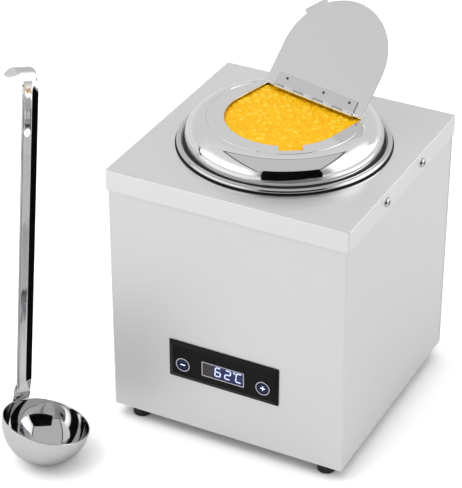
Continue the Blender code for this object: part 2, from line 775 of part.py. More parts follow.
# Lid: flange on the pot's ledge, round shoulder, flat disc with the U-shaped opening and the ladle notch
def lid_dome():
    shoulder_centre = (LID_WALL_RADIUS - LID_SHOULDER_RADIUS, LID_HEIGHT - LID_SHOULDER_RADIUS)
    flange_top = LID_SEAT + LID_SHEET
    fillet = LID_FILLET_RADIUS
    profile = [(0, LID_HEIGHT)]
    profile += arc(shoulder_centre, LID_SHOULDER_RADIUS, math.pi / 2, 0, 2 * FILLET_STEPS)
    profile += arc((LID_WALL_RADIUS + fillet, flange_top + fillet), fillet, math.pi, math.pi * 1.5, 2)
    profile += [(LID_FLANGE_RADIUS, flange_top)]
    lid = turned("lid_dome", profile, POLISHED, lid_frame)
    shell(lid, LID_SHEET)
    outline = [(OPENING_CENTRE_X - OPENING_RADIUS, CHORD_BACK)]
    outline += arc((OPENING_CENTRE_X, 0), OPENING_RADIUS, -math.pi, 0, ROUND_STEPS // 2)
    outline += [(OPENING_CENTRE_X + OPENING_RADIUS, CHORD_BACK)]
    opening = plate("lid_opening_cutter", outline, LID_SHOULDER_RADIUS, None, lid_frame, (0, 0, LID_HEIGHT))
    cut(lid, opening)
    notch = block(
        "ladle_notch_cutter",
        (NOTCH_REACH - OPENING_RADIUS / 2, NOTCH_WIDTH, LID_SHOULDER_RADIUS),
        None,
        lid_frame,
        location=(
            math.cos(NOTCH_ANGLE) * (NOTCH_REACH + OPENING_RADIUS / 2) / 2,
            math.sin(NOTCH_ANGLE) * (NOTCH_REACH + OPENING_RADIUS / 2) / 2,
            LID_HEIGHT,
        ),
        rotation=(0, 0, NOTCH_ANGLE),
    )
    cut(lid, notch)
    return lid


def knuckles(leaf, frame, height, first):
    """Joins every second knuckle to a leaf, then clears the pin's bore and the other knuckles."""
    for index in range(first, KNUCKLE_COUNT, 2):
        middle = HINGE_CENTRE_X - HINGE_LENGTH / 2 + (index + 0.5) * KNUCKLE_LENGTH
        knuckle = rod(
            f"knuckle_helper_{index + 1}",
            KNUCKLE_RADIUS,
            KNUCKLE_LENGTH - SEAT_GAP,
            None,
            frame,
            location=(middle, 0, height),
            rotation=ALONG_X,
        )
        join(leaf, knuckle)
    for index in range(1 - first, KNUCKLE_COUNT, 2):
        middle = HINGE_CENTRE_X - HINGE_LENGTH / 2 + (index + 0.5) * KNUCKLE_LENGTH
        gap = block(
            f"knuckle_gap_cutter_{index + 1}",
            (KNUCKLE_LENGTH + SEAT_GAP, 2 * (KNUCKLE_RADIUS + SEAT_GAP), 2 * (KNUCKLE_RADIUS + SEAT_GAP)),
            None,
            frame,
            location=(middle, 0, height),
        )
        cut(leaf, gap)
    bore = rod(
        f"pin_bore_cutter_{first + 1}",
        PIN_RADIUS + SEAT_GAP,
        HINGE_LENGTH + 2 * CUT_OVERRUN,
        None,
        frame,
        location=(HINGE_CENTRE_X, 0, height),
        rotation=ALONG_X,
    )
    cut(leaf, bore)


def rivet_profile(grip):
    """A two-headed rivet along its own Z, centred on its grip."""
    half = grip / 2
    head = RIVET_HEAD_RADIUS
    tall = half + RIVET_HEAD_HEIGHT
    return [
        (0, tall),
        (head - RIVET_HEAD_HEIGHT / 2, tall),
        (head, half),
        (RIVET_RADIUS, half),
        (RIVET_RADIUS, -half),
        (head, -half),
        (head - RIVET_HEAD_HEIGHT / 2, -tall),
        (0, -tall),
    ]


def rivets(names, frame, sheets, across, low, high):
    """Rivets through two sheets that lie between two heights, with a hole in each sheet."""
    grip = high - low + 2 * SEAT_GAP
    for index, share in enumerate(RIVET_SHARES):
        spot = (share * HINGE_LENGTH, across, (low + high) / 2)
        turned(f"{names}_{index + 1}", rivet_profile(grip), HINGE_STEEL, frame, spot, steps=SCREW_STEPS)
        hole = rod(
            f"{names}_hole_cutter_{index + 1}",
            RIVET_RADIUS + SEAT_GAP,
            grip + 2 * CUT_OVERRUN,
            None,
            frame,
            location=spot,
        )
        for sheet in sheets:
            cut(sheet, hole)


# Hinge: a leaf on the lid behind the pin, a leaf under the flap, and the pin
def hinge(lid, flap):
    lid_leaf_low = SEAT_GAP
    lid_axis = LID_HEIGHT + HINGE_RISE
    lid_leaf = block(
        "hinge_lid_leaf",
        (HINGE_LENGTH, LEAF_WIDTH, LEAF_SHEET),
        HINGE_STEEL,
        lid_frame,
        location=(HINGE_CENTRE_X, HINGE_BACK + LEAF_WIDTH / 2, LID_HEIGHT + lid_leaf_low + LEAF_SHEET / 2),
    )
    hinge_line = empty("hinge_line", lid_frame, location=(0, HINGE_BACK, 0))
    knuckles(lid_leaf, hinge_line, lid_axis, 0)
    flap_low = SEAT_GAP - HINGE_RISE
    flap_leaf = block(
        "hinge_flap_leaf",
        (HINGE_LENGTH, LEAF_WIDTH, LEAF_SHEET),
        HINGE_STEEL,
        flap_frame,
        location=(HINGE_CENTRE_X, -LEAF_WIDTH / 2, flap_low - SEAT_GAP - LEAF_SHEET / 2),
    )
    knuckles(flap_leaf, flap_frame, 0, 1)
    pin_half = HINGE_LENGTH / 2 + SEAT_GAP
    pin = [
        (0, pin_half + PIN_HEAD_LENGTH),
        (PIN_HEAD_RADIUS, pin_half + PIN_HEAD_LENGTH),
        (PIN_HEAD_RADIUS, pin_half),
        (PIN_RADIUS, pin_half),
        (PIN_RADIUS, -pin_half),
        (PIN_HEAD_RADIUS, -pin_half),
        (PIN_HEAD_RADIUS, -pin_half - PIN_HEAD_LENGTH),
        (0, -pin_half - PIN_HEAD_LENGTH),
    ]
    turned(
        "hinge_pin",
        pin,
        HINGE_STEEL,
        lid_frame,
        location=(HINGE_CENTRE_X, HINGE_BACK, lid_axis),
        rotation=ALONG_X,
        steps=SMALL_STEPS,
    )
    rivets(
        "lid_rivet",
        lid_frame,
        (lid, lid_leaf),
        HINGE_BACK + RIVET_SETBACK,
        LID_HEIGHT - LID_SHEET,
        LID_HEIGHT + lid_leaf_low + LEAF_SHEET,
    )
    rivets(
        "flap_rivet",
        flap_frame,
        (flap, flap_leaf),
        -RIVET_SETBACK,
        flap_low - SEAT_GAP - LEAF_SHEET,
        flap_low + FLAP_SHEET,
    )


# Flap: a plate with a round end and a finger tab
def flap_plate():
    round_centre = -(FLAP_LENGTH - FLAP_RADIUS)
    outline = [(FLAP_CENTRE_X - FLAP_RADIUS, -FLAP_SETBACK)]
    outline += arc((FLAP_CENTRE_X, round_centre), FLAP_RADIUS, -math.pi, 0, ROUND_STEPS // 2)
    outline += [(FLAP_CENTRE_X + FLAP_RADIUS, -FLAP_SETBACK)]
    middle = SEAT_GAP - HINGE_RISE + FLAP_SHEET / 2
    flap = plate("flap_plate", outline, FLAP_SHEET, BRUSHED, flap_frame, (0, 0, middle))
    tab_length = TAB_ROOT + TAB_REACH
    tab_middle = FLAP_RADIUS + TAB_REACH - tab_length / 2
    tab = block(
        "finger_tab_helper",
        (tab_length, TAB_WIDTH, FLAP_SHEET),
        None,
        flap_frame,
        location=(
            FLAP_CENTRE_X + math.cos(TAB_ANGLE) * tab_middle,
            round_centre + math.sin(TAB_ANGLE) * tab_middle,
            middle,
        ),
        rotation=(0, 0, TAB_ANGLE),
    )
    join(flap, tab)
    return flap


# Control panel: a raised black bezel with a window and two buttons, its display and its board
def panel_bezel():
    made = bmesh.new()
    size = (PANEL_WIDTH, PANEL_PROUD, PANEL_HEIGHT)
    bmesh.ops.create_cube(made, size=1.0, matrix=Matrix.Diagonal((*size, 1.0)))
    for corner in made.verts:
        if corner.co.y < 0:
            corner.co.x -= math.copysign(PANEL_CHAMFER, corner.co.x)
            corner.co.z -= math.copysign(PANEL_CHAMFER, corner.co.z)
    mesh = bpy.data.meshes.new("panel_bezel")
    made.to_mesh(mesh)
    made.free()
    bezel = place(
        "panel_bezel",
        mesh,
        BLACK_PLASTIC,
        stand,
        location=(PANEL_CENTRE_X, PANEL_BACK - PANEL_PROUD / 2, PANEL_Z),
    )
    body_front = PANEL_BACK - PANEL_BODY_LAP
    body = block(
        "bezel_body_helper",
        (BODY_WIDTH, BODY_BACK - body_front, BODY_HEIGHT),
        None,
        stand,
        location=(PANEL_CENTRE_X, (BODY_BACK + body_front) / 2, PANEL_Z),
    )
    join(bezel, body)
    cavity_back = BODY_BACK + CUT_OVERRUN
    cavity = block(
        "bezel_cavity_cutter",
        (BODY_WIDTH - 2 * PANEL_BODY_WALL, cavity_back - PANEL_INNER, BODY_HEIGHT - 2 * PANEL_BODY_WALL),
        None,
        stand,
        location=(PANEL_CENTRE_X, (cavity_back + PANEL_INNER) / 2, PANEL_Z),
    )
    cut(bezel, cavity)
    window_hole = block(
        "window_hole_cutter",
        (WINDOW_WIDTH + 2 * SEAT_GAP, PANEL_FACE + 2 * CUT_OVERRUN, WINDOW_HEIGHT + 2 * SEAT_GAP),
        None,
        stand,
        location=(PANEL_CENTRE_X, PANEL_FRONT, PANEL_Z - WINDOW_DROP),
    )
    cut(bezel, window_hole)
    return bezel


def display():
    block(
        "display_window",
        (WINDOW_WIDTH, WINDOW_THICKNESS, WINDOW_HEIGHT),
        SMOKED,
        stand,
        location=(PANEL_CENTRE_X, PANEL_INNER - WINDOW_THICKNESS / 2, PANEL_Z - WINDOW_DROP),
    )
    module_front = PANEL_INNER + SEAT_GAP
    module_back = BODY_BACK
    block(
        "display_module",
        (WINDOW_WIDTH + 2 * PANEL_BODY_WALL, module_back - module_front, WINDOW_HEIGHT + PANEL_BODY_WALL),
        BLACK_PLASTIC,
        stand,
        location=(PANEL_CENTRE_X, (module_front + module_back) / 2, PANEL_Z - WINDOW_DROP),
    )


def control_board():
    """Board across the bezel's back, with a switch behind each button and a few chips."""
    board_front = BODY_BACK + SEAT_GAP
    board = block(
        "control_board",
        (BODY_WIDTH, BOARD_SHEET, BODY_HEIGHT),
        BOARD_GREEN,
        stand,
        location=(PANEL_CENTRE_X, board_front + BOARD_SHEET / 2, PANEL_Z),
    )
    switch_height = PANEL_BODY_DEPTH / 2
    for name, side in (("left", -1), ("right", 1)):
        switch = block(
            "switch_helper_" + name,
            (SWITCH_SIZE, switch_height + BOARD_SHEET, SWITCH_SIZE),
            None,
            stand,
            location=(
                PANEL_CENTRE_X + side * BUTTON_SPACING / 2,
                board_front + (BOARD_SHEET - switch_height) / 2,
                PANEL_Z - BUTTON_DROP,
            ),
        )
        join(board, switch)
    for index, (across, up) in enumerate(BOARD_CHIP_SHARES):
        chip = block(
            f"chip_helper_{index + 1}",
            (CHIP_WIDTH, CHIP_DEPTH, CHIP_HEIGHT),
            None,
            stand,
            location=(
                PANEL_CENTRE_X + across * BODY_WIDTH,
                board_front + BOARD_SHEET + CHIP_DEPTH / 2 - SEAT_GAP,
                PANEL_Z + up * BODY_HEIGHT,
            ),
        )
        join(board, chip)
    return board_front - switch_height


def buttons(bezel, switch_front):
    """A cap that stands proud of the bezel, a flange behind its face, and a stem towards the switch."""
    top = 0
    face = top - BUTTON_PROUD - PANEL_FACE - SEAT_GAP
    flange_back = face - BUTTON_FLANGE
    stem_end = -(switch_front - PANEL_FRONT + BUTTON_PROUD) + BUTTON_TRAVEL + SEAT_GAP
    edge = BUTTON_PROUD / 2
    profile = [
        (0, top),
        (BUTTON_RADIUS - edge, top),
        (BUTTON_RADIUS, top - edge),
        (BUTTON_RADIUS, face),
        (BUTTON_FLANGE_RADIUS, face),
        (BUTTON_FLANGE_RADIUS, flange_back),
        (BUTTON_STEM_RADIUS, flange_back),
        (BUTTON_STEM_RADIUS, stem_end),
        (0, stem_end),
    ]
    for name, side in (("left", -1), ("right", 1)):
        spot = (PANEL_CENTRE_X + side * BUTTON_SPACING / 2, PANEL_Z - BUTTON_DROP)
        hole = rod(
            "button_hole_cutter_" + name,
            BUTTON_RADIUS + SEAT_GAP,
            PANEL_FACE + 2 * CUT_OVERRUN,
            None,
            stand,
            location=(spot[0], PANEL_FRONT, spot[1]),
            rotation=ALONG_Y,
            sides=ROUND_STEPS // 2,
        )
        cut(bezel, hole)
        turned(
            "button_" + name,
            profile,
            BUTTON_BLUE,
            stand,
            location=(spot[0], PANEL_FRONT - BUTTON_PROUD, spot[1]),
            rotation=ALONG_Y,
            steps=ROUND_STEPS // 2,
        )


def ring(inner, outer, top, bottom):
    """Profile of a flat-faced ring, down its outer side and back up its bore."""
    return [(inner, top), (outer, top), (outer, bottom), (inner, bottom)]


# Heater under the well: an aluminium plate, a tubular element, and a clamp plate with its bolt
def heater():
    plate_top = WELL_UNDERSIDE - SEAT_GAP
    plate_bottom = plate_top - HEATER_THICKNESS
    bore = CLAMP_BOLT_RADIUS + SEAT_GAP
    disc = ring(bore, HEATER_RADIUS, plate_top, plate_bottom)
    turned("heater_plate", disc, ALUMINIUM, stand, closed=True)
    element_z = plate_bottom - SEAT_GAP - ELEMENT_RADIUS
    start = math.pi / 2 + ELEMENT_OPENING / 2
    end = math.pi / 2 + 2 * math.pi - ELEMENT_OPENING / 2
    loop = [(x, y, element_z) for x, y in arc((0, 0), ELEMENT_RING_RADIUS, start, end, ROUND_STEPS // 2)]
    ends = []
    for corner in (loop[0], loop[-1]):
        ends.append((corner[0], corner[1] + ELEMENT_LEG, element_z))
    tube("heating_element", [ends[0]] + loop + [ends[1]], ELEMENT_RADIUS, SCREW_STEEL, stand)
    clamp_top = element_z - ELEMENT_RADIUS - SEAT_GAP
    clamp_bottom = clamp_top - CLAMP_SHEET
    clamp = ring(bore, CLAMP_RADIUS, clamp_top, clamp_bottom)
    turned("element_clamp", clamp, GALVANISED, stand, closed=True, steps=ROUND_STEPS // 2)
    head_top = clamp_bottom - SEAT_GAP
    bolt = screw_profile(
        CLAMP_BOLT_RADIUS,
        CLAMP_BOLT_HEAD_RADIUS,
        CLAMP_BOLT_HEAD_HEIGHT,
        plate_top - head_top - SEAT_GAP,
        -SEAT_GAP,
    )
    turned("clamp_bolt", bolt, SCREW_STEEL, stand, (0, 0, head_top), (math.pi, 0, 0), steps=SCREW_STEPS)
    return ends


def insulation():
    inner = WELL_RADIUS + WELL_SHEET + SEAT_GAP
    outer = inner + SLEEVE_THICKNESS
    top = WELL_TOP - WELL_SHEET - SEAT_GAP
    bottom = top - SLEEVE_HEIGHT
    turned("insulation_sleeve", ring(inner, outer, top, bottom), WOOL, stand, closed=True)
    return bottom


# Sensors on the well's wall, below the sleeve
def sensors(sleeve_bottom):
    outside = WELL_RADIUS + WELL_SHEET + SEAT_GAP
    reach = outside + PROBE_RADIUS
    height = sleeve_bottom - SEAT_GAP - PROBE_LENGTH / 2
    rod(
        "temperature_probe",
        PROBE_RADIUS,
        PROBE_LENGTH,
        SCREW_STEEL,
        stand,
        location=(reach * math.cos(PROBE_ANGLE), reach * math.sin(PROBE_ANGLE), height),
    )
    reach = outside + CUTOUT_LENGTH / 2
    rod(
        "thermal_cutout",
        CUTOUT_RADIUS,
        CUTOUT_LENGTH,
        BLACK_PLASTIC,
        stand,
        location=(
            reach * math.cos(CUTOUT_ANGLE),
            reach * math.sin(CUTOUT_ANGLE),
            WELL_FLOOR + WELL_CORNER_RADIUS + CUTOUT_RISE,
        ),
        rotation=(0, math.pi / 2, CUTOUT_ANGLE),
    )


# Power board on the base, with its transformer and relay
def power_board():
    bottom = BASE_TOP + SEAT_GAP + STANDOFF_HEIGHT
    board = block(
        "power_board",
        (POWER_BOARD_WIDTH, POWER_BOARD_DEPTH, BOARD_SHEET),
        BOARD_GREEN,
        stand,
        location=(POWER_BOARD_X, POWER_BOARD_Y, bottom + BOARD_SHEET / 2),
    )
    for index, (side, front) in enumerate(((-1, -1), (1, -1), (-1, 1), (1, 1))):
        standoff = rod(
            f"standoff_helper_{index + 1}",
            STANDOFF_RADIUS,
            STANDOFF_HEIGHT + BOARD_SHEET / 2,
            None,
            stand,
            location=(
                POWER_BOARD_X + side * (POWER_BOARD_WIDTH / 2 - STANDOFF_INSET),
                POWER_BOARD_Y + front * (POWER_BOARD_DEPTH / 2 - STANDOFF_INSET),
                BASE_TOP + SEAT_GAP + (STANDOFF_HEIGHT + BOARD_SHEET / 2) / 2,
            ),
        )
        join(board, standoff)
    top = bottom + BOARD_SHEET + SEAT_GAP
    block(
        "transformer",
        (TRANSFORMER_WIDTH, TRANSFORMER_DEPTH, TRANSFORMER_HEIGHT),
        GALVANISED,
        stand,
        location=(POWER_BOARD_X + TRANSFORMER_SHIFT, POWER_BOARD_Y, top + TRANSFORMER_HEIGHT / 2),
    )
    block(
        "relay",
        (RELAY_WIDTH, RELAY_DEPTH, RELAY_HEIGHT),
        BLACK_PLASTIC,
        stand,
        location=(POWER_BOARD_X + RELAY_SHIFT, POWER_BOARD_Y, top + RELAY_HEIGHT / 2),
    )


# Terminal block between the gland and the heater
def terminal_block():
    bottom = BASE_TOP + SEAT_GAP
    body = block(
        "terminal_block",
        (TERMINAL_WIDTH, TERMINAL_DEPTH, TERMINAL_HEIGHT),
        WHITE_PLASTIC,
        stand,
        location=(TERMINAL_X, TERMINAL_Y, bottom + TERMINAL_HEIGHT / 2),
    )
    for index, side in enumerate((-1, 1)):
        pocket = block(
            f"terminal_pocket_cutter_{index + 1}",
            (TERMINAL_POCKET, TERMINAL_POCKET, TERMINAL_POCKET),
            None,
            stand,
            location=(TERMINAL_X + side * TERMINAL_WIDTH / 4, TERMINAL_Y, bottom + TERMINAL_HEIGHT),
        )
        cut(body, pocket)
    return bottom + TERMINAL_HEIGHT - TERMINAL_POCKET / 2


def heater_leads(element_ends, pocket_floor):
    """Two leads from the terminal block up to the element's ends."""
    for index, (name, end) in enumerate(zip(("neutral", "live"), (element_ends[0], element_ends[1]))):
        side = -1 if index == 0 else 1
        start = (TERMINAL_X + side * TERMINAL_WIDTH / 4, TERMINAL_Y, pocket_floor + SEAT_GAP)
        finish = (end[0], end[1] + SEAT_GAP, end[2])
        knots = [
            start,
            (start[0], start[1], start[2] + TERMINAL_HEIGHT),
            (
                (start[0] + finish[0]) / 2,
                (start[1] + finish[1]) / 2 + LEAD_BOW,
                (start[2] + finish[2]) / 2 + side * LEAD_RADIUS * 2,
            ),
            (finish[0], finish[1] + LEAD_BOW, finish[2]),
        ]
        route = smooth_path(knots, FILLET_STEPS) + [finish]
        tube("heater_lead_" + name, route, LEAD_RADIUS, LEAD_RED, stand)


# Cord gland in the rear panel: nose, head and shank outside in, with a nut on the inside
def cord_gland(panel):
    height = FOOT_HEIGHT + GLAND_RISE
    nose = GLAND_HEAD_LENGTH + GLAND_NOSE_LENGTH
    shank = -(REAR_SHEET + 2 * SEAT_GAP + GLAND_NUT_LENGTH + SEAT_GAP)
    profile = [
        (GLAND_BORE, nose),
        (GLAND_NOSE_RADIUS, nose),
        (GLAND_NOSE_RADIUS, GLAND_HEAD_LENGTH),
        (GLAND_HEAD_RADIUS, GLAND_HEAD_LENGTH),
        (GLAND_HEAD_RADIUS, 0),
        (GLAND_SHANK_RADIUS, 0),
        (GLAND_SHANK_RADIUS, shank),
        (GLAND_BORE, shank),
    ]
    turned(
        "cord_gland",
        profile,
        BLACK_PLASTIC,
        stand,
        location=(GLAND_X, CASING_HALF + SEAT_GAP, height),
        rotation=(-math.pi / 2, 0, 0),
        closed=True,
        steps=SMALL_STEPS,
    )
    hole = rod(
        "gland_hole_cutter",
        GLAND_SHANK_RADIUS + SEAT_GAP,
        2 * REAR_SHEET + 2 * CUT_OVERRUN,
        None,
        stand,
        location=(GLAND_X, CASING_HALF, height),
        rotation=ALONG_Y,
        sides=SMALL_STEPS,
    )
    cut(panel, hole)
    nut = rod(
        "gland_nut",
        GLAND_NUT_RADIUS,
        GLAND_NUT_LENGTH,
        BLACK_PLASTIC,
        stand,
        location=(GLAND_X, CASING_HALF - REAR_SHEET - SEAT_GAP - GLAND_NUT_LENGTH / 2, height),
        rotation=ALONG_Y,
        sides=6,
    )
    bore = rod(
        "gland_nut_bore_cutter",
        GLAND_SHANK_RADIUS + SEAT_GAP,
        GLAND_NUT_LENGTH + 2 * CUT_OVERRUN,
        None,
        stand,
        location=nut.location,
        rotation=ALONG_Y,
        sides=SMALL_STEPS,
    )
    cut(nut, bore)


# Ladle: a round bowl, and a strip handle welded to its back that ends in a hook
def ladle():
    frame = empty(
        "ladle_frame",
        stand,
        location=(LADLE_X, LADLE_Y, BOWL_RADIUS),
        rotation=(LADLE_ROLL, LADLE_PITCH, LADLE_HEADING),
    )
    half_ball = arc((0, 0), BOWL_RADIUS, 0, -math.pi / 2, 3 * FILLET_STEPS)
    bowl = turned("ladle_bowl", half_ball[:-1] + [(0, -BOWL_RADIUS)], POLISHED, frame)
    shell(bowl, BOWL_SHEET)
    middle = BOWL_RADIUS + SEAT_GAP + HANDLE_SHEET / 2
    path = arc((0, 0), middle, -HANDLE_LAP_ANGLE, 0, FILLET_STEPS - 1)
    path += [(middle, HANDLE_NECK_RISE)]
    along = Vector((math.sin(HANDLE_SLOPE), math.cos(HANDLE_SLOPE)))
    neck = Vector((middle + HANDLE_SHEET, HANDLE_NECK_RISE + HANDLE_NECK_BEND))
    straight = neck + along * HANDLE_LENGTH
    hook_centre = straight + Vector((along.y, -along.x)) * HOOK_RADIUS
    path += [tuple(neck), tuple(straight)]
    first = math.pi - HANDLE_SLOPE
    hook = arc(tuple(hook_centre), HOOK_RADIUS, first, first - HOOK_ANGLE, 2 * FILLET_STEPS)
    path += hook[1:]
    down = HANDLE_SLOPE + HOOK_ANGLE
    tail = Vector((math.sin(down), math.cos(down)))
    end_half = HANDLE_TOP_WIDTH / 2
    widths = []
    for out, up in path:
        share = min(max(up / straight.y, 0), 1)
        widths.append((HANDLE_NECK_WIDTH + (HANDLE_TOP_WIDTH - HANDLE_NECK_WIDTH) * share) / 2)
    widths[0] -= HANDLE_NECK_CORNER
    for share in (1, *reversed(ROUND_END_SHARES)):
        step = Vector(hook[-1]) + tail * (HOOK_TAIL - share * end_half)
        path.append(tuple(step))
        widths.append(end_half * math.sqrt(1 - (1 - share) ** 2))
    made = bmesh.new()
    rows = []
    for (out, up), half in zip(path, widths):
        rows.append((made.verts.new((out, -half, up)), made.verts.new((out, half, up))))
    for (first, second), (third, fourth) in zip(rows, rows[1:]):
        made.faces.new((first, third, fourth, second))
    mesh = bpy.data.meshes.new("ladle_handle")
    made.to_mesh(mesh)
    made.free()
    handle = place("ladle_handle", mesh, POLISHED, frame)
    solid = handle.modifiers.new("sheet", "SOLIDIFY")
    solid.thickness = HANDLE_SHEET
    solid.offset = 0.0
    solid.use_even_offset = True
    hole_at = straight - along * HANDLE_HOLE_BACK
    hole = rod(
        "handle_hole_cutter",
        HANDLE_HOLE_RADIUS,
        HANDLE_SHEET + 2 * CUT_OVERRUN,
        None,
        frame,
        location=(hole_at.x, 0, hole_at.y),
        rotation=(0, math.pi / 2 + HANDLE_SLOPE, 0),
    )
    cut(handle, hole)


def centre_over_origin():
    """Moves the whole set so that the middle of its footprint is the world origin."""
    bpy.context.view_layer.update()
    graph = bpy.context.evaluated_depsgraph_get()
    low = Vector((math.inf, math.inf))
    high = Vector((-math.inf, -math.inf))
    for obj in parts.objects:
        if obj.type != "MESH":
            continue
        solid = obj.evaluated_get(graph)
        for vertex in solid.data.vertices:
            spot = solid.matrix_world @ vertex.co
            for axis in (0, 1):
                low[axis] = min(low[axis], spot[axis])
                high[axis] = max(high[axis], spot[axis])
    stand.location = (-(low.x + high.x) / 2, -(low.y + high.y) / 2, 0)


cap_piece = top_cover()
wrap_piece = casing_wrap()
rear_piece = rear_panel()
tray_piece = base_plate()
feet(tray_piece)
skirt_screws(cap_piece, wrap_piece)
rear_screws(rear_piece, wrap_piece)
heating_well()
soup_pot()
lid_piece = lid_dome()
flap_piece = flap_plate()
hinge(lid_piece, flap_piece)
bezel_piece = panel_bezel()
display()
buttons(bezel_piece, control_board())
heater_ends = heater()
sensors(insulation())
power_board()
heater_leads(heater_ends, terminal_block())
cord_gland(rear_piece)
ladle()
centre_over_origin()
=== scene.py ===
# %% [markdown]
# # Dressing a table-top soup kettle
#
# A square kettle of stainless sheet carries a deep pot. A mirror-polished lid sits on the pot's rim, and
# a hinged flap in the lid stands open over the soup. A ladle stands beside the kettle.
#
# The solids of the kettle already exist in a shared frame, with everything that moves. This script adds
# what the eye sees: finer surfaces where the solids have facets, and a finish for every piece.
# All lengths are in metres. The kettle's own axis runs up through the middle of its square top.

# %% Load the frame
import json
from math import asin, atan2, cos, pi, radians, sin, tan

import bmesh
import bpy
import numpy as np
from mathutils import Euler, Matrix, Vector


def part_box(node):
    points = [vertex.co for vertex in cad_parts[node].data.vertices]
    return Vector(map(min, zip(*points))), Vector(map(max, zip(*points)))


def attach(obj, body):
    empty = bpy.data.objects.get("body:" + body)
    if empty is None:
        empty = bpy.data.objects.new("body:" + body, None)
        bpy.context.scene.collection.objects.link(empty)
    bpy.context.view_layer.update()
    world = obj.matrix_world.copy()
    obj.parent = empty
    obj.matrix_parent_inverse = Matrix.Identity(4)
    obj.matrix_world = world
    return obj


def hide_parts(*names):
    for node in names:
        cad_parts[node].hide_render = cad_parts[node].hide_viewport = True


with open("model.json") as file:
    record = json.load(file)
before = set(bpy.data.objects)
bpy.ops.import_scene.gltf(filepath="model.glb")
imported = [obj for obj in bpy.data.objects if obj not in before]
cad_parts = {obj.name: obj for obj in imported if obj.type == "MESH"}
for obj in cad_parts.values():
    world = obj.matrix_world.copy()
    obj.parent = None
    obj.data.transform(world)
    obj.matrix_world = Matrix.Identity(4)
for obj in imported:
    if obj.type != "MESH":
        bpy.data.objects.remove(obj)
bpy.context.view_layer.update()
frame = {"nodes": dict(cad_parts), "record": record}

# %% [markdown]
# ## Sizes that the finer surfaces share with the solids
#
# A finer surface has to sit exactly where its solid sits, or gaps and overlaps would show when the lid
# opens. So the sizes below repeat those of the solids, and every other place is worked out from them.

# %% Sizes of the case and the pot
MM = 0.001
CASE_WIDTH = 250 * MM
CAP_TOP = 282 * MM
CAP_SHEET = 1.0 * MM
CAP_EDGE_RADIUS = 1.2 * MM
SKIRT_HEIGHT = 21.7 * MM
SKIRT_CLEARANCE = 0.4 * MM
SEAT_GAP = 0.3 * MM
WRAP_SHEET = 1.0 * MM
WRAP_CORNER_RADIUS = 2.0 * MM
REAR_FLANGE = 16 * MM
FOOT_HEIGHT = 15 * MM
BEAD_OUTER_RADIUS = 103 * MM
BEAD_TUBE_RADIUS = 2.7 * MM
POT_INNER_RADIUS = 91.2 * MM
POT_SHEET = 0.8 * MM
POT_DEPTH = 180 * MM
POT_CORNER_RADIUS = 20 * MM
POT_LEDGE_HEIGHT = 2.6 * MM
POT_LEDGE_RADIUS = 2.0 * MM
WELL_RADIUS = 95.5 * MM
WELL_SHEET = 0.8 * MM
WELL_CORNER_RADIUS = 12 * MM
WELL_FLANGE = 11 * MM
WELL_FLOOR_CLEARANCE = 6 * MM
CAP_OPENING_RADIUS = WELL_RADIUS + 1.0 * MM
CASING_HALF = CASE_WIDTH / 2 - CAP_SHEET - SKIRT_CLEARANCE
CASING_TOP = CAP_TOP - CAP_SHEET - SEAT_GAP
print("case", CASE_WIDTH, "wide,", CAP_TOP, "tall")

# %% Sizes of the lid, its hinge and its flap
LID_TURN = radians(-14.14)
LID_SHEET = 0.9 * MM
LID_HEIGHT = 27.5 * MM
LID_SEAT = POT_LEDGE_HEIGHT + SEAT_GAP
LID_WALL_RADIUS = BEAD_OUTER_RADIUS - 8.0 * MM
LID_FLANGE_RADIUS = BEAD_OUTER_RADIUS - 6.0 * MM
LID_SHOULDER_RADIUS = 19.0 * MM
LID_FILLET_RADIUS = 1.0 * MM
OPENING_RADIUS = 58.3 * MM
OPENING_CENTRE_X = 1.2 * MM
CHORD_BACK = 42.5 * MM
NOTCH_WIDTH = 23 * MM
NOTCH_REACH = 68 * MM
NOTCH_ANGLE = radians(-45)
HINGE_BACK = 40.1 * MM
HINGE_RISE = 1.5 * MM
HINGE_CENTRE_X = 2.0 * MM
HINGE_LENGTH = 96 * MM
KNUCKLE_COUNT = 8
KNUCKLE_RADIUS = 2.0 * MM
PIN_RADIUS = 1.0 * MM
LEAF_SHEET = 0.8 * MM
LEAF_WIDTH = 14 * MM
FLAP_SHEET = 1.0 * MM
FLAP_RADIUS = 59.4 * MM
FLAP_CENTRE_X = 1.4 * MM
FLAP_LENGTH = 103 * MM
FLAP_SETBACK = 2.7 * MM
FLAP_OPEN_ANGLE = radians(131.2)
TAB_WIDTH = 24.5 * MM
TAB_REACH = 4.2 * MM
TAB_ANGLE = radians(-135)
RIVET_SHARES = (-0.36, 0.108, 0.435)
RIVET_SETBACK = 10 * MM
print("lid", LID_FLANGE_RADIUS, "in radius, flap", FLAP_LENGTH, "long")

# %% [markdown]
# ## Frames of reference
#
# The lid is turned a little on the pot, the flap is swung back about its hinge, and the ladle leans. Each
# of these has its own axes. A shape is easiest to write in its own axes, and one matrix then carries it
# to its place in the world, so that the finished object itself stays unturned at the origin.

# %% Place matrices
def move(x, y, z):
    """Matrix that moves a shape."""
    return Matrix.Translation((x, y, z))


def rotate(angle, axis):
    """Matrix that turns a shape about one of the axes."""
    return Matrix.Rotation(angle, 4, axis)


def middle_of(node):
    """Middle of a solid's box."""
    low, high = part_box(node)
    return [(low[axis] + high[axis]) / 2 for axis in range(3)]


kettle_x, kettle_y, _ = middle_of("top_cover")
KETTLE = move(kettle_x, kettle_y, 0)
POT = KETTLE @ move(0, 0, CAP_TOP)
LID = POT @ rotate(LID_TURN, "Z")
HINGE_LINE = LID @ move(0, HINGE_BACK, LID_HEIGHT + HINGE_RISE)
FLAP = HINGE_LINE @ rotate(-FLAP_OPEN_ANGLE, "X")
print("kettle axis at", round(kettle_x, 4), round(kettle_y, 4))

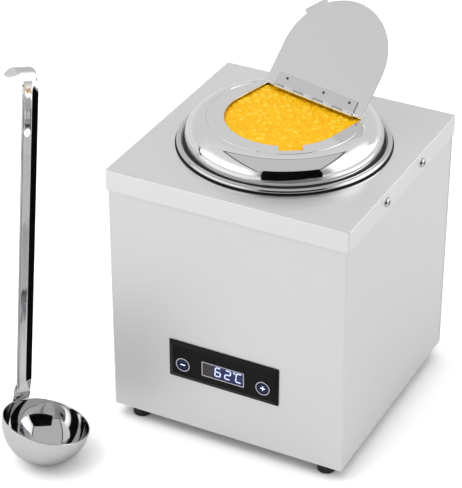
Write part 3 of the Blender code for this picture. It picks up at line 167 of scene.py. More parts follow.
# %% [markdown]
# ## Surfaces from grids
#
# Almost every piece of a sheet-metal kettle is a profile carried round an axis or along a path. Both give
# a grid of points: rows along the profile, columns round the piece. numpy works out the whole grid at
# once, and neighbouring points are joined by four-sided faces. The columns always close round.

# %% Loops and grids
def arc(centre, radius, start, end, count):
    """Points of a circle's arc: the centre plus the radius times the cosine and sine of even angles."""
    angle = np.linspace(start, end, count + 1)
    return np.stack([centre[0] + radius * np.cos(angle), centre[1] + radius * np.sin(angle)], axis=1)


def rounded_loop(width, height, corner, steps=5, side_points=0):
    """Loop of a rectangle with round corners: four arcs, each followed by points on its straight side."""
    arcs = []
    for turn, (side, up) in enumerate(((1, 1), (-1, 1), (-1, -1), (1, -1))):
        centre = (side * (width / 2 - corner), up * (height / 2 - corner))
        arcs.append(arc(centre, corner, turn * pi / 2, (turn + 1) * pi / 2, steps))
    share = np.linspace(0, 1, side_points + 1, endpoint=False)[1:, None]
    loop = []
    for here, there in zip(arcs, arcs[1:] + arcs[:1]):
        loop += [here, here[-1] * (1 - share) + there[0] * share]
    return np.concatenate(loop)


def polar_grid(rows, angle, centre=(0, 0)):
    """Grid of rows (radius, height) round an axis: x and y are the radius times the angle's cosine and sine.
    A radius is one number, or one for each angle."""
    radius = np.array([np.broadcast_to(row[0], angle.shape) for row in rows])
    height = np.array([np.broadcast_to(row[1], angle.shape) for row in rows])
    return np.stack([centre[0] + radius * np.cos(angle), centre[1] + radius * np.sin(angle), height], axis=-1)


def full_circle(steps):
    """Evenly spaced angles once round."""
    return np.linspace(0, 2 * pi, steps, endpoint=False)


def sides_of(path):
    """Unit normals of a flat path, to the right of the way it runs, from the mean direction at each point."""
    step = np.diff(path, axis=0)
    step /= np.linalg.norm(step, axis=1, keepdims=True)
    mean = np.vstack([step[:1], step[:-1] + step[1:], step[-1:]])
    mean /= np.linalg.norm(mean, axis=1, keepdims=True)
    return np.stack([mean[:, 1], -mean[:, 0]], axis=1)


def wall(middle, thickness):
    """Outline of a bent sheet: its middle line moved half a sheet to each side, there and back."""
    middle = np.asarray(middle, float)
    moved = np.linalg.norm(np.diff(middle, axis=0), axis=1) > 1e-7
    middle = middle[np.concatenate([[True], moved])]
    offset = sides_of(middle) * thickness / 2
    return np.concatenate([middle + offset, (middle - offset)[::-1]])


# %% Pieces from grids
def quads(rows, columns, closed=False):
    """Four-sided faces of a grid: each point with its next neighbours along the row and the column."""
    row = np.arange(rows if closed else rows - 1)[:, None]
    near = np.arange(columns)[None, :]
    far = (near + 1) % columns
    here, there = row * columns, (row + 1) % rows * columns
    return np.stack([here + near, here + far, there + far, there + near], axis=-1).reshape(-1, 4)


def from_grid(name, grid, place, smooth_angle=30, closed=False, ends=False):
    """A piece from a grid in a place's own axes, with doubles merged and faces turned outwards.
    Closed joins the last row to the first, and ends puts a face over each of the two."""
    rows, columns = grid.shape[:2]
    faces = quads(rows, columns, closed).tolist()
    if ends:
        faces += np.arange(rows * columns).reshape(rows, columns)[[0, -1]].tolist()
    matrix = np.array(place)
    points = grid.reshape(-1, 3) @ matrix[:3, :3].T + matrix[:3, 3]
    mesh = bpy.data.meshes.new(name)
    mesh.from_pydata(points.tolist(), [], faces)
    made = bmesh.new()
    made.from_mesh(mesh)
    bmesh.ops.remove_doubles(made, verts=made.verts, dist=1e-6)
    bmesh.ops.dissolve_degenerate(made, edges=made.edges, dist=1e-7)
    bmesh.ops.recalc_face_normals(made, faces=made.faces)
    made.to_mesh(mesh)
    made.free()
    mesh.shade_smooth()
    mesh.set_sharp_from_angle(angle=radians(smooth_angle))
    piece = bpy.data.objects.new(name, mesh)
    bpy.context.scene.collection.objects.link(piece)
    return piece


def turned(name, profile, place, steps=96, closed=False):
    """A piece turned about its Z axis. A closed profile makes a ring, an open one starts and ends on the axis."""
    return from_grid(name, polar_grid(profile, full_circle(steps)), place, closed=closed)


def stacked(name, loops, place, smooth_angle=30, closed=False):
    """A piece from loops (points, depth) that follow one another along Y: a frame, or a block with two ends."""
    rows = [np.column_stack([loop[:, 0], np.full(len(loop), y), loop[:, 1]]) for loop, y in loops]
    return from_grid(name, np.array(rows), place, smooth_angle, closed, not closed)


def joined(pieces):
    """Joins pieces into the first of them."""
    with bpy.context.temp_override(active_object=pieces[0], selected_editable_objects=pieces):
        bpy.ops.object.join()
    return pieces[0]


def cut(piece, cutter, smooth_angle=30):
    """Takes the cutter's shape out of the piece, marks the new sharp edges and removes the cutter."""
    step = piece.modifiers.new("cut", "BOOLEAN")
    step.operation = "DIFFERENCE"
    step.solver = "EXACT"
    step.object = cutter
    graph = bpy.context.evaluated_depsgraph_get()
    finished = bpy.data.meshes.new_from_object(piece.evaluated_get(graph))
    piece.modifiers.clear()
    old = piece.data
    piece.data = finished
    finished.set_sharp_from_angle(angle=radians(smooth_angle))
    bpy.data.meshes.remove(old)
    bpy.data.objects.remove(cutter, do_unlink=True)


def block(width, depth, height, place, corner=0.01 * MM):
    """A block to cut with: a rounded rectangle drawn out along Y."""
    loop = rounded_loop(width, height, corner, 4)
    return stacked("block", [(loop, -depth / 2), (loop, depth / 2)], place)


def drill(radius, reach, place, steps=64):
    """A cylinder about the Z axis to cut a round hole with."""
    return turned("drill", [(0, reach), (radius, reach), (radius, -reach), (0, -reach)], place, steps)


def dress(piece, body, material, slot, *nodes):
    """Gives a piece its material, lets it ride on a body and puts it in place of its solids. The slot is not used."""
    piece.data.materials.clear()
    piece.data.materials.append(material)
    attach(piece, body)
    if nodes:
        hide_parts(*nodes)
    print(piece.name, len(piece.data.polygons), "faces on", body)


# %% [markdown]
# ## Node groups
#
# Three effects come back in several finishes. Brushing leaves fine parallel lines, hands and cloths leave
# faint cloudy marks, and moulded parts have a fine pebbled skin. Each is built once as a group that gives
# out values only, and each material places it with its own scale and strength.

# %% Node helpers
def put(tree, socket, value):
    """Feeds a socket: another node's output is linked, a plain value is written in."""
    if isinstance(value, bpy.types.NodeSocket):
        tree.links.new(value, socket)
    else:
        socket.default_value = value


def fill(tree, node, **values):
    """Feeds a node's inputs by name, with _ for a space."""
    for label, value in values.items():
        put(tree, node.inputs[label.replace("_", " ")], value)
    return node


def add(tree, kind, **values):
    """A new shader node with its inputs filled."""
    return fill(tree, tree.nodes.new("ShaderNode" + kind), **values)


def math_node(tree, operation, *values, clamp=False):
    """One arithmetic step on one or two values."""
    node = tree.nodes.new("ShaderNodeMath")
    node.operation = operation
    node.use_clamp = clamp
    for socket, value in zip(node.inputs, values):
        put(tree, socket, value)
    return node.outputs[0]


def coordinates(tree):
    """Object coordinates."""
    return tree.nodes.new("ShaderNodeTexCoord").outputs["Object"]


def noise(tree, vector, scale, detail=3.0, roughness=0.55):
    """Cloudy noise between 0 and 1."""
    return add(tree, "TexNoise", Vector=vector, Scale=scale, Detail=detail, Roughness=roughness).outputs["Fac"]


def ramp(tree, value, low, high, start, end):
    """Moves a value from one range to another, held at both ends."""
    node = add(tree, "MapRange", Value=value, From_Min=low, From_Max=high, To_Min=start, To_Max=end)
    return node.outputs["Result"]


def mix(tree, factor, first, second, kind="FLOAT"):
    """Blend of two values, or of two colours where the kind is RGBA."""
    node = tree.nodes.new("ShaderNodeMix")
    node.data_type = kind
    return fill(tree, node, Factor=factor, A=first, B=second).outputs["Result"]


def group(name, inputs, outputs):
    """An empty group: its tree, the outputs of its input node and its output node, all with named values."""
    made = bpy.data.node_groups.new(name, "ShaderNodeTree")
    for label, value in inputs.items():
        socket = made.interface.new_socket(label, in_out="INPUT", socket_type="NodeSocketFloat")
        socket.default_value = value
    for label in outputs:
        made.interface.new_socket(label, in_out="OUTPUT", socket_type="NodeSocketFloat")
    return made, made.nodes.new("NodeGroupInput").outputs, made.nodes.new("NodeGroupOutput")


# %% Make the groups
def handling_marks():
    """Faint clouds left by hands and cloths: broad noise times finer noise, centred on zero."""
    tree, given, result = group("handling marks", {"Size": 12.0, "Strength": 0.05}, ("Roughness Change", "Tone"))
    place = coordinates(tree)
    broad = add(tree, "TexNoise", Vector=place, Scale=given["Size"], Detail=4.0).outputs["Fac"]
    fine = math_node(tree, "ADD", noise(tree, place, 95.0, 2.0), 0.5)
    centred = math_node(tree, "SUBTRACT", math_node(tree, "MULTIPLY", broad, fine), 0.5)
    change = math_node(tree, "MULTIPLY", centred, given["Strength"])
    fill(tree, result, Roughness_Change=change, Tone=math_node(tree, "MULTIPLY", change, 0.6))
    return tree


def brushed_grain():
    """Fine parallel lines: noise drawn out along the grain and squeezed across it, on upright or flat sheet."""
    tree, given, result = group("brushed grain", {"Along": 6.0, "Across": 900.0, "Upright": 0.0}, ("Grain",))
    split = add(tree, "SeparateXYZ", Vector=coordinates(tree)).outputs
    lines = []
    for along, across in ((split["X"], split["Y"]), (math_node(tree, "ADD", split["X"], split["Y"]), split["Z"])):
        along = math_node(tree, "MULTIPLY", along, given["Along"])
        across = math_node(tree, "MULTIPLY", across, given["Across"])
        lines.append(noise(tree, add(tree, "CombineXYZ", X=along, Y=across).outputs["Vector"], 1.0, 4.0, 0.7))
    fill(tree, result, Grain=mix(tree, given["Upright"], *lines))
    return tree


def moulded_skin():
    """Pebbled skin of moulded plastic or rubber: small rounded cells, and a faint cloud for the tone."""
    tree, given, result = group("moulded skin", {"Pebble Size": 1600.0}, ("Height", "Cloud"))
    place = coordinates(tree)
    pebbles = add(tree, "TexVoronoi", Vector=place, Scale=given["Pebble Size"])
    pebbles.feature = "SMOOTH_F1"
    fill(tree, result, Height=pebbles.outputs["Distance"], Cloud=noise(tree, place, 60.0))
    return tree


MARKS = handling_marks()
GRAIN = brushed_grain()
SKIN = moulded_skin()
print("groups", MARKS.name, GRAIN.name, SKIN.name)

# %% [markdown]
# ## Finishes
#
# The case is satin stainless sheet. Seen from a step away its brushing melts into an even sheen, so the
# grain only stirs the roughness. Rolled sheet also throws part of the light back in all directions, as
# white paint does. A Metallic value below 1 stands for that part, and it keeps a thing that stands near,
# such as the ladle, from showing as a dark patch. The lid, pot and ladle are polished, so they mirror the
# studio, and their detail is in faint marks. Each finish is one Principled shader whose own sockets hold
# the plain values, with the groups feeding what varies.

# %% Material helpers
def grey(value):
    """A colour without a hue."""
    return (value, value, value)


def shader_of(name, colour, roughness, **values):
    """A material, its tree and its Principled shader, with plain values on the shader's own sockets."""
    made = bpy.data.materials.new(name)
    made.use_nodes = True
    made.diffuse_color = (*colour, 1)
    tree = made.node_tree
    shader = tree.nodes["Principled BSDF"]
    fill(tree, shader, Base_Color=(*colour, 1), Roughness=roughness, **values)
    return made, tree, shader


def place_group(tree, source, **values):
    """Puts a group in a material, sets its inputs and gives its outputs."""
    node = tree.nodes.new("ShaderNodeGroup")
    node.node_tree = source
    return fill(tree, node, **values).outputs


def vary_colour(tree, shader, colour, tone, amount):
    """Base colour that moves from darker to lighter by an amount, as the tone goes from 0 to 1."""
    darker = (*[value * (1 - amount) for value in colour], 1)
    lighter = (*[min(value * (1 + amount), 1.0) for value in colour], 1)
    fill(tree, shader, Base_Color=mix(tree, tone, darker, lighter, "RGBA"))


def bump(tree, shader, height, strength, distance=0.0002):
    """Lets a height tilt the surface's normal."""
    lift = add(tree, "Bump", Height=height, Strength=strength, Distance=distance)
    fill(tree, shader, Normal=lift.outputs["Normal"])


def satin_steel(name, colour, roughness, upright, relief=0.02, stir=0.10, metallic=1.0):
    """Satin sheet: brushed grain and handling marks stir the roughness, and the grain gives a slight bump."""
    made, tree, shader = shader_of(name, colour, roughness, Metallic=metallic)
    grain = place_group(tree, GRAIN, Upright=upright)["Grain"]
    marks = place_group(tree, MARKS, Size=9.0, Strength=stir)
    change = math_node(tree, "MULTIPLY", math_node(tree, "SUBTRACT", grain, 0.5), stir)
    total = math_node(tree, "ADD", change, marks["Roughness Change"])
    fill(tree, shader, Roughness=math_node(tree, "ADD", total, roughness))
    vary_colour(tree, shader, colour, math_node(tree, "ADD", grain, marks["Tone"]), stir * 0.15)
    bump(tree, shader, grain, relief)
    return made


def polished_steel(name, colour, roughness, strength=0.05):
    """Mirror-polished steel: only the roughness changes a little, where it has been handled."""
    made, tree, shader = shader_of(name, colour, roughness, Metallic=1.0)
    marks = place_group(tree, MARKS, Size=14.0, Strength=strength)
    rough = math_node(tree, "ADD", marks["Roughness Change"], roughness)
    fill(tree, shader, Roughness=math_node(tree, "MAXIMUM", rough, 0.01))
    vary_colour(tree, shader, colour, math_node(tree, "ADD", marks["Tone"], 0.5), 0.03)
    return made


def moulded(name, colour, roughness, pebble=1600.0, relief=0.15, **values):
    """Moulded plastic or rubber: a pebbled bump and a slightly cloudy tone."""
    made, tree, shader = shader_of(name, colour, roughness, **values)
    skin = place_group(tree, SKIN, Pebble_Size=pebble)
    vary_colour(tree, shader, colour, skin["Cloud"], 0.25)
    fill(tree, shader, Roughness=ramp(tree, skin["Cloud"], 0.3, 0.7, roughness - 0.04, roughness + 0.04))
    bump(tree, shader, skin["Height"], relief)
    return made


# %% Make the finishes
TOP_STEEL = satin_steel("satin top sheet", grey(0.81), 0.25, 0.0, 0.002, stir=0.03, metallic=0.8)
SIDE_STEEL = satin_steel("satin side sheet", (0.89, 0.89, 0.895), 0.43, 1.0, 0.006, metallic=0.5)
# The skirt's finish is a lighter copy of the cover's steel, although top and skirt are one sheet: painted light.
SKIRT_STEEL_PAINTED_LIGHTER = satin_steel("satin skirt sheet painted lighter", grey(0.95), 0.36, 1.0, 0.004, stir=0.05, metallic=0.5)
FLAP_STEEL = satin_steel("satin flap sheet", grey(0.75), 0.26, 0.0, 0.0006, stir=0.03)
LID_STEEL = polished_steel("polished lid steel", grey(0.86), 0.055)
POT_STEEL = polished_steel("polished pot steel", grey(0.66), 0.09)
LADLE_STEEL = polished_steel("polished ladle steel", grey(0.69), 0.06)
HINGE_STEEL = polished_steel("rolled hinge steel", grey(0.66), 0.22, 0.12)
RIVET_STEEL = polished_steel("dull rivet steel", grey(0.13), 0.35, 0.12)
SCREW_STEEL = polished_steel("plated screw steel", grey(0.60), 0.20, 0.10)
CLEAN_ZINC = satin_steel("zinc-coated sheet", (0.52, 0.53, 0.54), 0.48, 0.0, 0.05)
CAST_ALUMINIUM = moulded("cast aluminium", grey(0.60), 0.45, 900.0, Metallic=1.0)
BLACK_PLASTIC = moulded("black moulded plastic", grey(0.003), 0.24, 2200.0, 0.05, Specular_IOR_Level=0.16)
BLACK_RUBBER = moulded("black rubber", grey(0.015), 0.65, 1300.0, 0.25)
WHITE_PLASTIC = moulded("white moulded plastic", (0.80, 0.80, 0.78), 0.45)
BOARD_GREEN = moulded("coated circuit board", (0.02, 0.20, 0.08), 0.40, 500.0)
LEAD_RED = moulded("silicone sleeving", (0.45, 0.03, 0.02), 0.50, 1800.0)
WOOL = moulded("mineral wool felt", (0.78, 0.70, 0.48), 0.95, 420.0, 0.6)
OUTLINE_WHITE = moulded("printed white line", grey(0.80), 0.40, 2500.0, 0.02)
RING_WHITE = moulded("white button ring", (0.82, 0.84, 0.88), 0.35, 2500.0, 0.02)
BUTTON_BLUE = moulded("dark blue button", (0.006, 0.009, 0.050), 0.25, 2500.0, 0.03, Specular_IOR_Level=0.3)
print("materials", len(bpy.data.materials))

# %% [markdown]
# ## Top cover
#
# The cover is one sheet: a flat square with a round hole for the pot, whose four sides are folded down.
# A subtract of a cylinder from a box would leave long thin faces. Instead one profile is carried round
# the square: up the skirt, over the fold, and across the top, where the square loop turns into a circle
# point by point. It then comes back under the sheet, so the cover is closed and has its real thickness.
# A shallow groove at each corner shows where two sides of the skirt meet.

# %% Make the top cover
FOLD_STEPS = 5
SEAM_DEPTH = 0.5 * MM
SEAM_ANGLE = radians(5)
SKIRT_LOW = CAP_TOP - SKIRT_HEIGHT
UNDERSIDE = CAP_TOP - CAP_SHEET
FACES_SIDEWAYS = 0.7


def square_loop(inset):
    """The cover's outline moved inwards by an inset, with the same number of points each time."""
    side = CASE_WIDTH - 2 * inset
    return rounded_loop(side, side, max(CAP_EDGE_RADIUS - inset, 0.05 * MM), 12, 24)


def top_cover_grid():
    """Rows of the closed profile, each a loop: skirt, fold, top, opening, underside, inner fold, inner skirt."""
    outer = square_loop(0)
    angle = np.arctan2(outer[:, 1], outer[:, 0])
    circle = np.stack([np.cos(angle), np.sin(angle)], axis=1)
    hole = circle * CAP_OPENING_RADIUS
    past = np.abs(outer) - (CASE_WIDTH / 2 - CAP_EDGE_RADIUS)
    off_middle = np.arctan2(past[:, 1], past[:, 0]) - pi / 4
    groove = np.where(np.all(past > -1e-6, axis=1), np.exp(-((off_middle / SEAM_ANGLE) ** 2)), 0)
    skirt = outer - circle * groove[:, None] * SEAM_DEPTH
    rows = [(skirt, height) for height in (SKIRT_LOW, SKIRT_LOW + 0.2 * MM, CAP_TOP - 1.5 * CAP_EDGE_RADIUS)]
    for bend in np.linspace(0, pi / 2, FOLD_STEPS + 1):
        drop = CAP_EDGE_RADIUS * (1 - sin(bend))
        rows.append((square_loop(CAP_EDGE_RADIUS * (1 - cos(bend))), CAP_TOP - drop))
    edge = square_loop(CAP_EDGE_RADIUS)
    rows += [(edge * (1 - share) + hole * share, CAP_TOP) for share in (0.04, 0.2, 0.4, 0.6, 0.8, 0.96)]
    rows += [(hole, CAP_TOP - 0.1 * MM), (hole, UNDERSIDE)]
    edge = square_loop(CAP_SHEET + 0.3 * MM)
    rows += [(edge * (1 - share) + hole * share, UNDERSIDE) for share in (0.8, 0.4, 0.04)]
    rows += [(square_loop(CAP_SHEET), height) for height in (UNDERSIDE - 0.3 * MM, SKIRT_LOW + 0.1 * MM)]
    rows.append((square_loop(0.6 * CAP_SHEET), SKIRT_LOW))
    return np.array([np.column_stack([loop, np.full(len(loop), height)]) for loop, height in rows])


top_cover = from_grid("top_cover_sheet", top_cover_grid(), KETTLE, 40, closed=True)
dress(top_cover, "case", TOP_STEEL, "brushed_stainless", "top_cover")

# %% Paint the skirt lighter than the cover's top
# Faces that point sideways take the lighter copy of the same steel: painted light, not a second finish.
top_cover.data.materials.append(SKIRT_STEEL_PAINTED_LIGHTER)
facing = np.empty(len(top_cover.data.polygons) * 3)
top_cover.data.polygons.foreach_get("normal", facing)
skirt_painted_lighter = np.abs(facing.reshape(-1, 3)[:, 2]) < FACES_SIDEWAYS
top_cover.data.polygons.foreach_set("material_index", skirt_painted_lighter.astype(int))
print("skirt faces", int(skirt_painted_lighter.sum()))

# %% [markdown]
# ## Casing wrap
#
# Front and both sides are one sheet, bent at two corners, with narrow flanges behind for the rear panel.
# Seen from above it is a path with a constant thickness, so a small upright rectangle with softened
# edges is carried along that path. The opening for the panel is then cut from the front.

# %% Make the casing wrap
BEND_SUPPORT = 0.6 * MM
EDGE_SOFT = 0.15 * MM
PANEL_WIDTH = 117.3 * MM
PANEL_HEIGHT = 42.1 * MM
PANEL_BODY_INSET = 3.5 * MM
PANEL_CENTRE_X = -1.3 * MM
PANEL_Z = CAP_TOP - 190.9 * MM
body_width = PANEL_WIDTH - 2 * PANEL_BODY_INSET
body_height = PANEL_HEIGHT - 2 * PANEL_BODY_INSET


def casing_path():
    """Middle line of the bent sheet from above, with a point close before and after each bend to hold it flat."""
    half = CASING_HALF - WRAP_SHEET / 2
    bend = WRAP_CORNER_RADIUS - WRAP_SHEET / 2
    back = CASING_HALF - CAP_SHEET - SEAT_GAP - WRAP_SHEET / 2
    lip = CASING_HALF - REAR_FLANGE
    runs = [
        [(-lip, back)],
        arc((-half + bend, back - bend), bend, 0.5 * pi, pi, 6),
        arc((-half + bend, -half + bend), bend, pi, 1.5 * pi, 8),
        arc((half - bend, -half + bend), bend, -0.5 * pi, 0, 8),
        arc((half - bend, back - bend), bend, 0, 0.5 * pi, 6),
        [(lip, back)],
    ]
    points = [np.array(runs[0])]
    for run in runs[1:]:
        start, end = points[-1][-1], np.array(run[0])
        way = (end - start) / np.linalg.norm(end - start)
        points += [np.array([start + way * BEND_SUPPORT, end - way * BEND_SUPPORT]), np.array(run)]
    return np.concatenate(points)


def sheet_section(half, low, high):
    """Closed section (offset, height) of an upright sheet, its four edges softened."""
    side, inner = (half, -half), half - EDGE_SOFT
    low_in, high_in = low + EDGE_SOFT, high - EDGE_SOFT
    right = [(side[0], low_in), (side[0], high_in), (inner, high), (-inner, high)]
    return np.array(right + [(side[1], high_in), (side[1], low_in), (-inner, low), (inner, low)])


def carried(path, section):
    """Grid of a section (offset, height) carried along a flat path: the path plus the offset times its normal."""
    flat = path[:, None, :] + sides_of(path)[:, None, :] * section[None, :, :1]
    height = np.broadcast_to(section[None, :, 1:], flat.shape[:2] + (1,))
    return np.concatenate([flat, height], axis=-1)


casing_grid = carried(casing_path(), sheet_section(WRAP_SHEET / 2, FOOT_HEIGHT, CASING_TOP))
casing = from_grid("casing_sheet", casing_grid, KETTLE, 40, ends=True)
hole_place = KETTLE @ move(PANEL_CENTRE_X, -CASING_HALF, PANEL_Z)
cut(casing, block(body_width + 2 * SEAT_GAP, 10 * MM, body_height + 2 * SEAT_GAP, hole_place))
dress(casing, "case", SIDE_STEEL, "brushed_stainless", "casing_wrap")

# %% [markdown]
# ## Feet and screws
#
# The feet are turned rubber pads with a recess for their screw. The skirt is held by pan-head screws. A
# screw head is a low dome, and its cross recess is part of the same surface: on a polar grid, the height
# at each point is the dome's height less a dip wherever the point lies within an arm of the cross.

# %% Make the feet
foot_profile = np.concatenate([
    [(2.4 * MM, 14.7 * MM), (9.4 * MM, 14.7 * MM)],
    arc((9.2 * MM, 14.1 * MM), 0.6 * MM, pi / 2, 0, 4),
    arc((8.2 * MM, 0.8 * MM), 0.8 * MM, -0.05, -pi / 2, 5),
    [(5.4 * MM, 0)],
    arc((5.4 * MM, 0.4 * MM), 0.4 * MM, -pi / 2, -pi, 3),
    [(5.0 * MM, 7.0 * MM), (2.4 * MM, 7.0 * MM)],
])
for corner in ("front_left", "front_right", "rear_left", "rear_right"):
    x, y, _ = middle_of("foot_" + corner)
    pad = turned("rubber_foot_" + corner, foot_profile, move(x, y, 0), 64, closed=True)
    dress(pad, "case", BLACK_RUBBER, "black_rubber", "foot_" + corner)

# %% Make the screws
SCREW_STEPS = 96
SKIRT_SCREW = (4.75 * MM, 2.4 * MM, 2.4 * MM, 7.5 * MM)
REAR_SCREW = (3.0 * MM, 1.8 * MM, 1.5 * MM, 7.0 * MM)
CROSS_TURN = {"front": 25, "rear": 62, "lower": 40, "upper": 15}


def pan_head(radius, height, rings=26):
    """Polar grid of a pan head: a flattened dome, less the dip of two crossed arms that fades at their edges."""
    share = np.linspace(0, 1, rings)[:, None]
    angle = full_circle(SCREW_STEPS)[None, :]
    x, y = radius * share * np.cos(angle), radius * share * np.sin(angle)
    dome = height * (1 - share**3.2) ** 0.6 + 0 * angle
    reach, half = 0.52 * radius, 0.13 * radius
    first = np.maximum(np.abs(x) - reach, np.abs(y) - half)
    second = np.maximum(np.abs(y) - reach, np.abs(x) - half)
    inside = np.clip(0.5 - np.minimum(first, second) / (0.22 * half), 0, 1)
    z = dome - 0.75 * height * inside**0.7 * (1 - 0.45 * share)
    return np.stack([x, y, z], axis=-1)


def screw(node, place, head_radius, head_height, shank_radius, reach):
    """A screw: the pan head's grid, its rim, and a shank that ends on the axis below."""
    shank = [(head_radius, 0.0), (shank_radius, 0.0), (shank_radius, -reach), (0, -reach)]
    grid = np.concatenate([pan_head(head_radius, head_height), polar_grid(shank, full_circle(SCREW_STEPS))])
    dress(from_grid("pan_" + node, grid, place, 28), "case", SCREW_STEEL, "screw_steel", node)


for side_name, side in (("left", -1), ("right", 1)):
    for end in ("front", "rear"):
        node = f"skirt_screw_{side_name}_{end}"
        _, y, z = middle_of(node)
        spot = move(kettle_x + side * (CASE_WIDTH / 2 + SEAT_GAP), y, z)
        screw(node, spot @ rotate(side * pi / 2, "Y") @ rotate(radians(CROSS_TURN[end]), "Z"), *SKIRT_SCREW)
    for level in ("lower", "upper"):
        node = f"rear_screw_{side_name}_{level}"
        x, _, z = middle_of(node)
        spot = move(x, kettle_y + CASING_HALF + SEAT_GAP, z)
        screw(node, spot @ rotate(-pi / 2, "X") @ rotate(radians(CROSS_TURN[level]), "Z"), *REAR_SCREW)

# %% [markdown]
# ## Heating well and pot
#
# Both are deep-drawn cups, so both are turned. The pot's profile runs down its outer side, round the
# rolled bead that carries it on the cover, over the ledge for the lid, and down the inside. Offsetting a
# middle line by half the sheet on each side keeps the wall even round every bend.

# %% Make the well and the pot
def cup_floor(radius, corner, floor, sheet, steps):
    """Middle line of a cup's floor and its round corner, from the axis to the foot of the wall."""
    bend = arc((radius - corner, floor + corner), corner + sheet / 2, -pi / 2, 0, steps)
    return np.concatenate([[(0, floor - sheet / 2)], bend])


def cup(name, middle, thickness, place):
    """A turned cup: the sheet's outline starts and ends on the axis."""
    outline = wall(middle, thickness)
    outline[[0, -1], 0] = 0
    return turned(name, outline, place, 128)


pot_floor = POT_LEDGE_HEIGHT - POT_DEPTH
well_floor = CAP_TOP + pot_floor - POT_SHEET - WELL_FLOOR_CLEARANCE
well_middle = np.concatenate([
    cup_floor(WELL_RADIUS, WELL_CORNER_RADIUS, well_floor, WELL_SHEET, 8),
    arc((WELL_RADIUS + 1.8 * MM, CASING_TOP - 1.8 * MM), 1.4 * MM, pi, pi / 2, 4),
    [(WELL_RADIUS + WELL_FLANGE, CASING_TOP - WELL_SHEET / 2)],
])
dress(cup("drawn_well", well_middle, WELL_SHEET, KETTLE), "case", SIDE_STEEL, "brushed_stainless", "heating_well")

ledge_centre = (POT_INNER_RADIUS + POT_LEDGE_RADIUS, POT_LEDGE_HEIGHT - POT_LEDGE_RADIUS)
bead_centre = (BEAD_OUTER_RADIUS - BEAD_TUBE_RADIUS, SEAT_GAP + BEAD_TUBE_RADIUS)
pot_middle = np.concatenate([
    cup_floor(POT_INNER_RADIUS, POT_CORNER_RADIUS, pot_floor, POT_SHEET, 10),
    arc(ledge_centre, POT_LEDGE_RADIUS - POT_SHEET / 2, pi, pi / 2, 6),
    arc(bead_centre, BEAD_TUBE_RADIUS - POT_SHEET / 2, radians(167), -pi / 2, 20),
])
dress(cup("drawn_pot", pot_middle, POT_SHEET, POT), "pot", POT_STEEL, "polished_stainless", "soup_pot")

# %% [markdown]
# ## Seal under the rim
#
# A thin black line shows all round under the rolled rim, where the rim shades the cover. A flat black washer on the
# cover paints that shade. It is thinner than the gap that the rim leaves, so the pot still lifts freely. It reaches a
# little past the rim.

# %% Make the ring of painted shade under the rim
RIM_SHADE_INNER = CAP_OPENING_RADIUS + 0.6 * MM
RIM_SHADE_OUTER = BEAD_OUTER_RADIUS + 1.3 * MM
RIM_SHADE_LOW = 0.02 * MM
RIM_SHADE_HIGH = 0.22 * MM
rim_shade_profile = [
    (RIM_SHADE_INNER, RIM_SHADE_LOW),
    (RIM_SHADE_INNER, RIM_SHADE_HIGH),
    (RIM_SHADE_OUTER - 0.1 * MM, RIM_SHADE_HIGH),
    (RIM_SHADE_OUTER, RIM_SHADE_HIGH - 0.1 * MM),
    (RIM_SHADE_OUTER, RIM_SHADE_LOW),
]
# A black ring stands in for the shade under the rim: painted shade.
dress(turned("painted_rim_shade", rim_shade_profile, POT, 180, closed=True), "case", BLACK_RUBBER, "black_rubber")

# %% [markdown]
# ## Lid
#
# The lid is one deep-drawn, polished sheet: a flange that rests on the pot's ledge, a round shoulder, and
# a flat disc with a U-shaped opening and a notch for the ladle. It shows more than any other piece,
# because it mirrors the room. So it isn't cut with a Boolean, whose stray faces would bend the mirror.
# In polar form the opening's edge is a radius for each angle. Rows of the grid then run from that edge
# to the disc's rim, over the shoulder and down the wall, and come back 0.9 mm below.

# %% Edges in polar form
def u_edge(angle, radius, centre_x, back):
    """Radius of a U-shaped edge at each angle: a half circle in front, straight sides, and a straight back."""
    x, y = np.cos(angle), np.sin(angle)
    along = centre_x * x
    circle = along + np.sqrt(along**2 + radius**2 - centre_x**2)
    side_x = np.where(x > 0, centre_x + radius, centre_x - radius)
    with np.errstate(divide="ignore", invalid="ignore"):
        side = np.where(np.abs(x) > 1e-9, side_x / x, np.inf)
        rear = np.where(y > 1e-9, back / y, np.inf)
    return np.where(y <= 0, circle, np.minimum(side, rear))


def tab_edge(angle, base, middle_angle, width, reach):
    """The same edge pushed out to a straight-sided tab: its end and sides bound the radius near its angle."""
    off = (angle - middle_angle + pi) % (2 * pi) - pi
    near = np.abs(off) < pi / 3
    end = reach / np.cos(np.where(near, off, 0))
    side = width / 2 / np.maximum(np.abs(np.sin(off)), 1e-9)
    return np.where(near, np.maximum(base, np.minimum(end, side)), base)


def edge_angles(count, *breaks):
    """Evenly spaced angles with extra pairs of columns at the edge's own corners, so that those stay sharp."""
    extra = np.concatenate([[b - 0.0004, b + 0.0004] for b in breaks])
    extra = (extra + pi) % (2 * pi) - pi
    return np.unique(np.round(np.concatenate([np.linspace(-pi, pi, count, endpoint=False), extra]), 9))


def tab_breaks(middle_angle, width, reach, radius):
    """Angles at which a tab's two corners and its two roots lie."""
    corner, root = atan2(width / 2, reach), asin(width / 2 / radius)
    return [middle_angle - corner, middle_angle + corner, middle_angle - root, middle_angle + root]


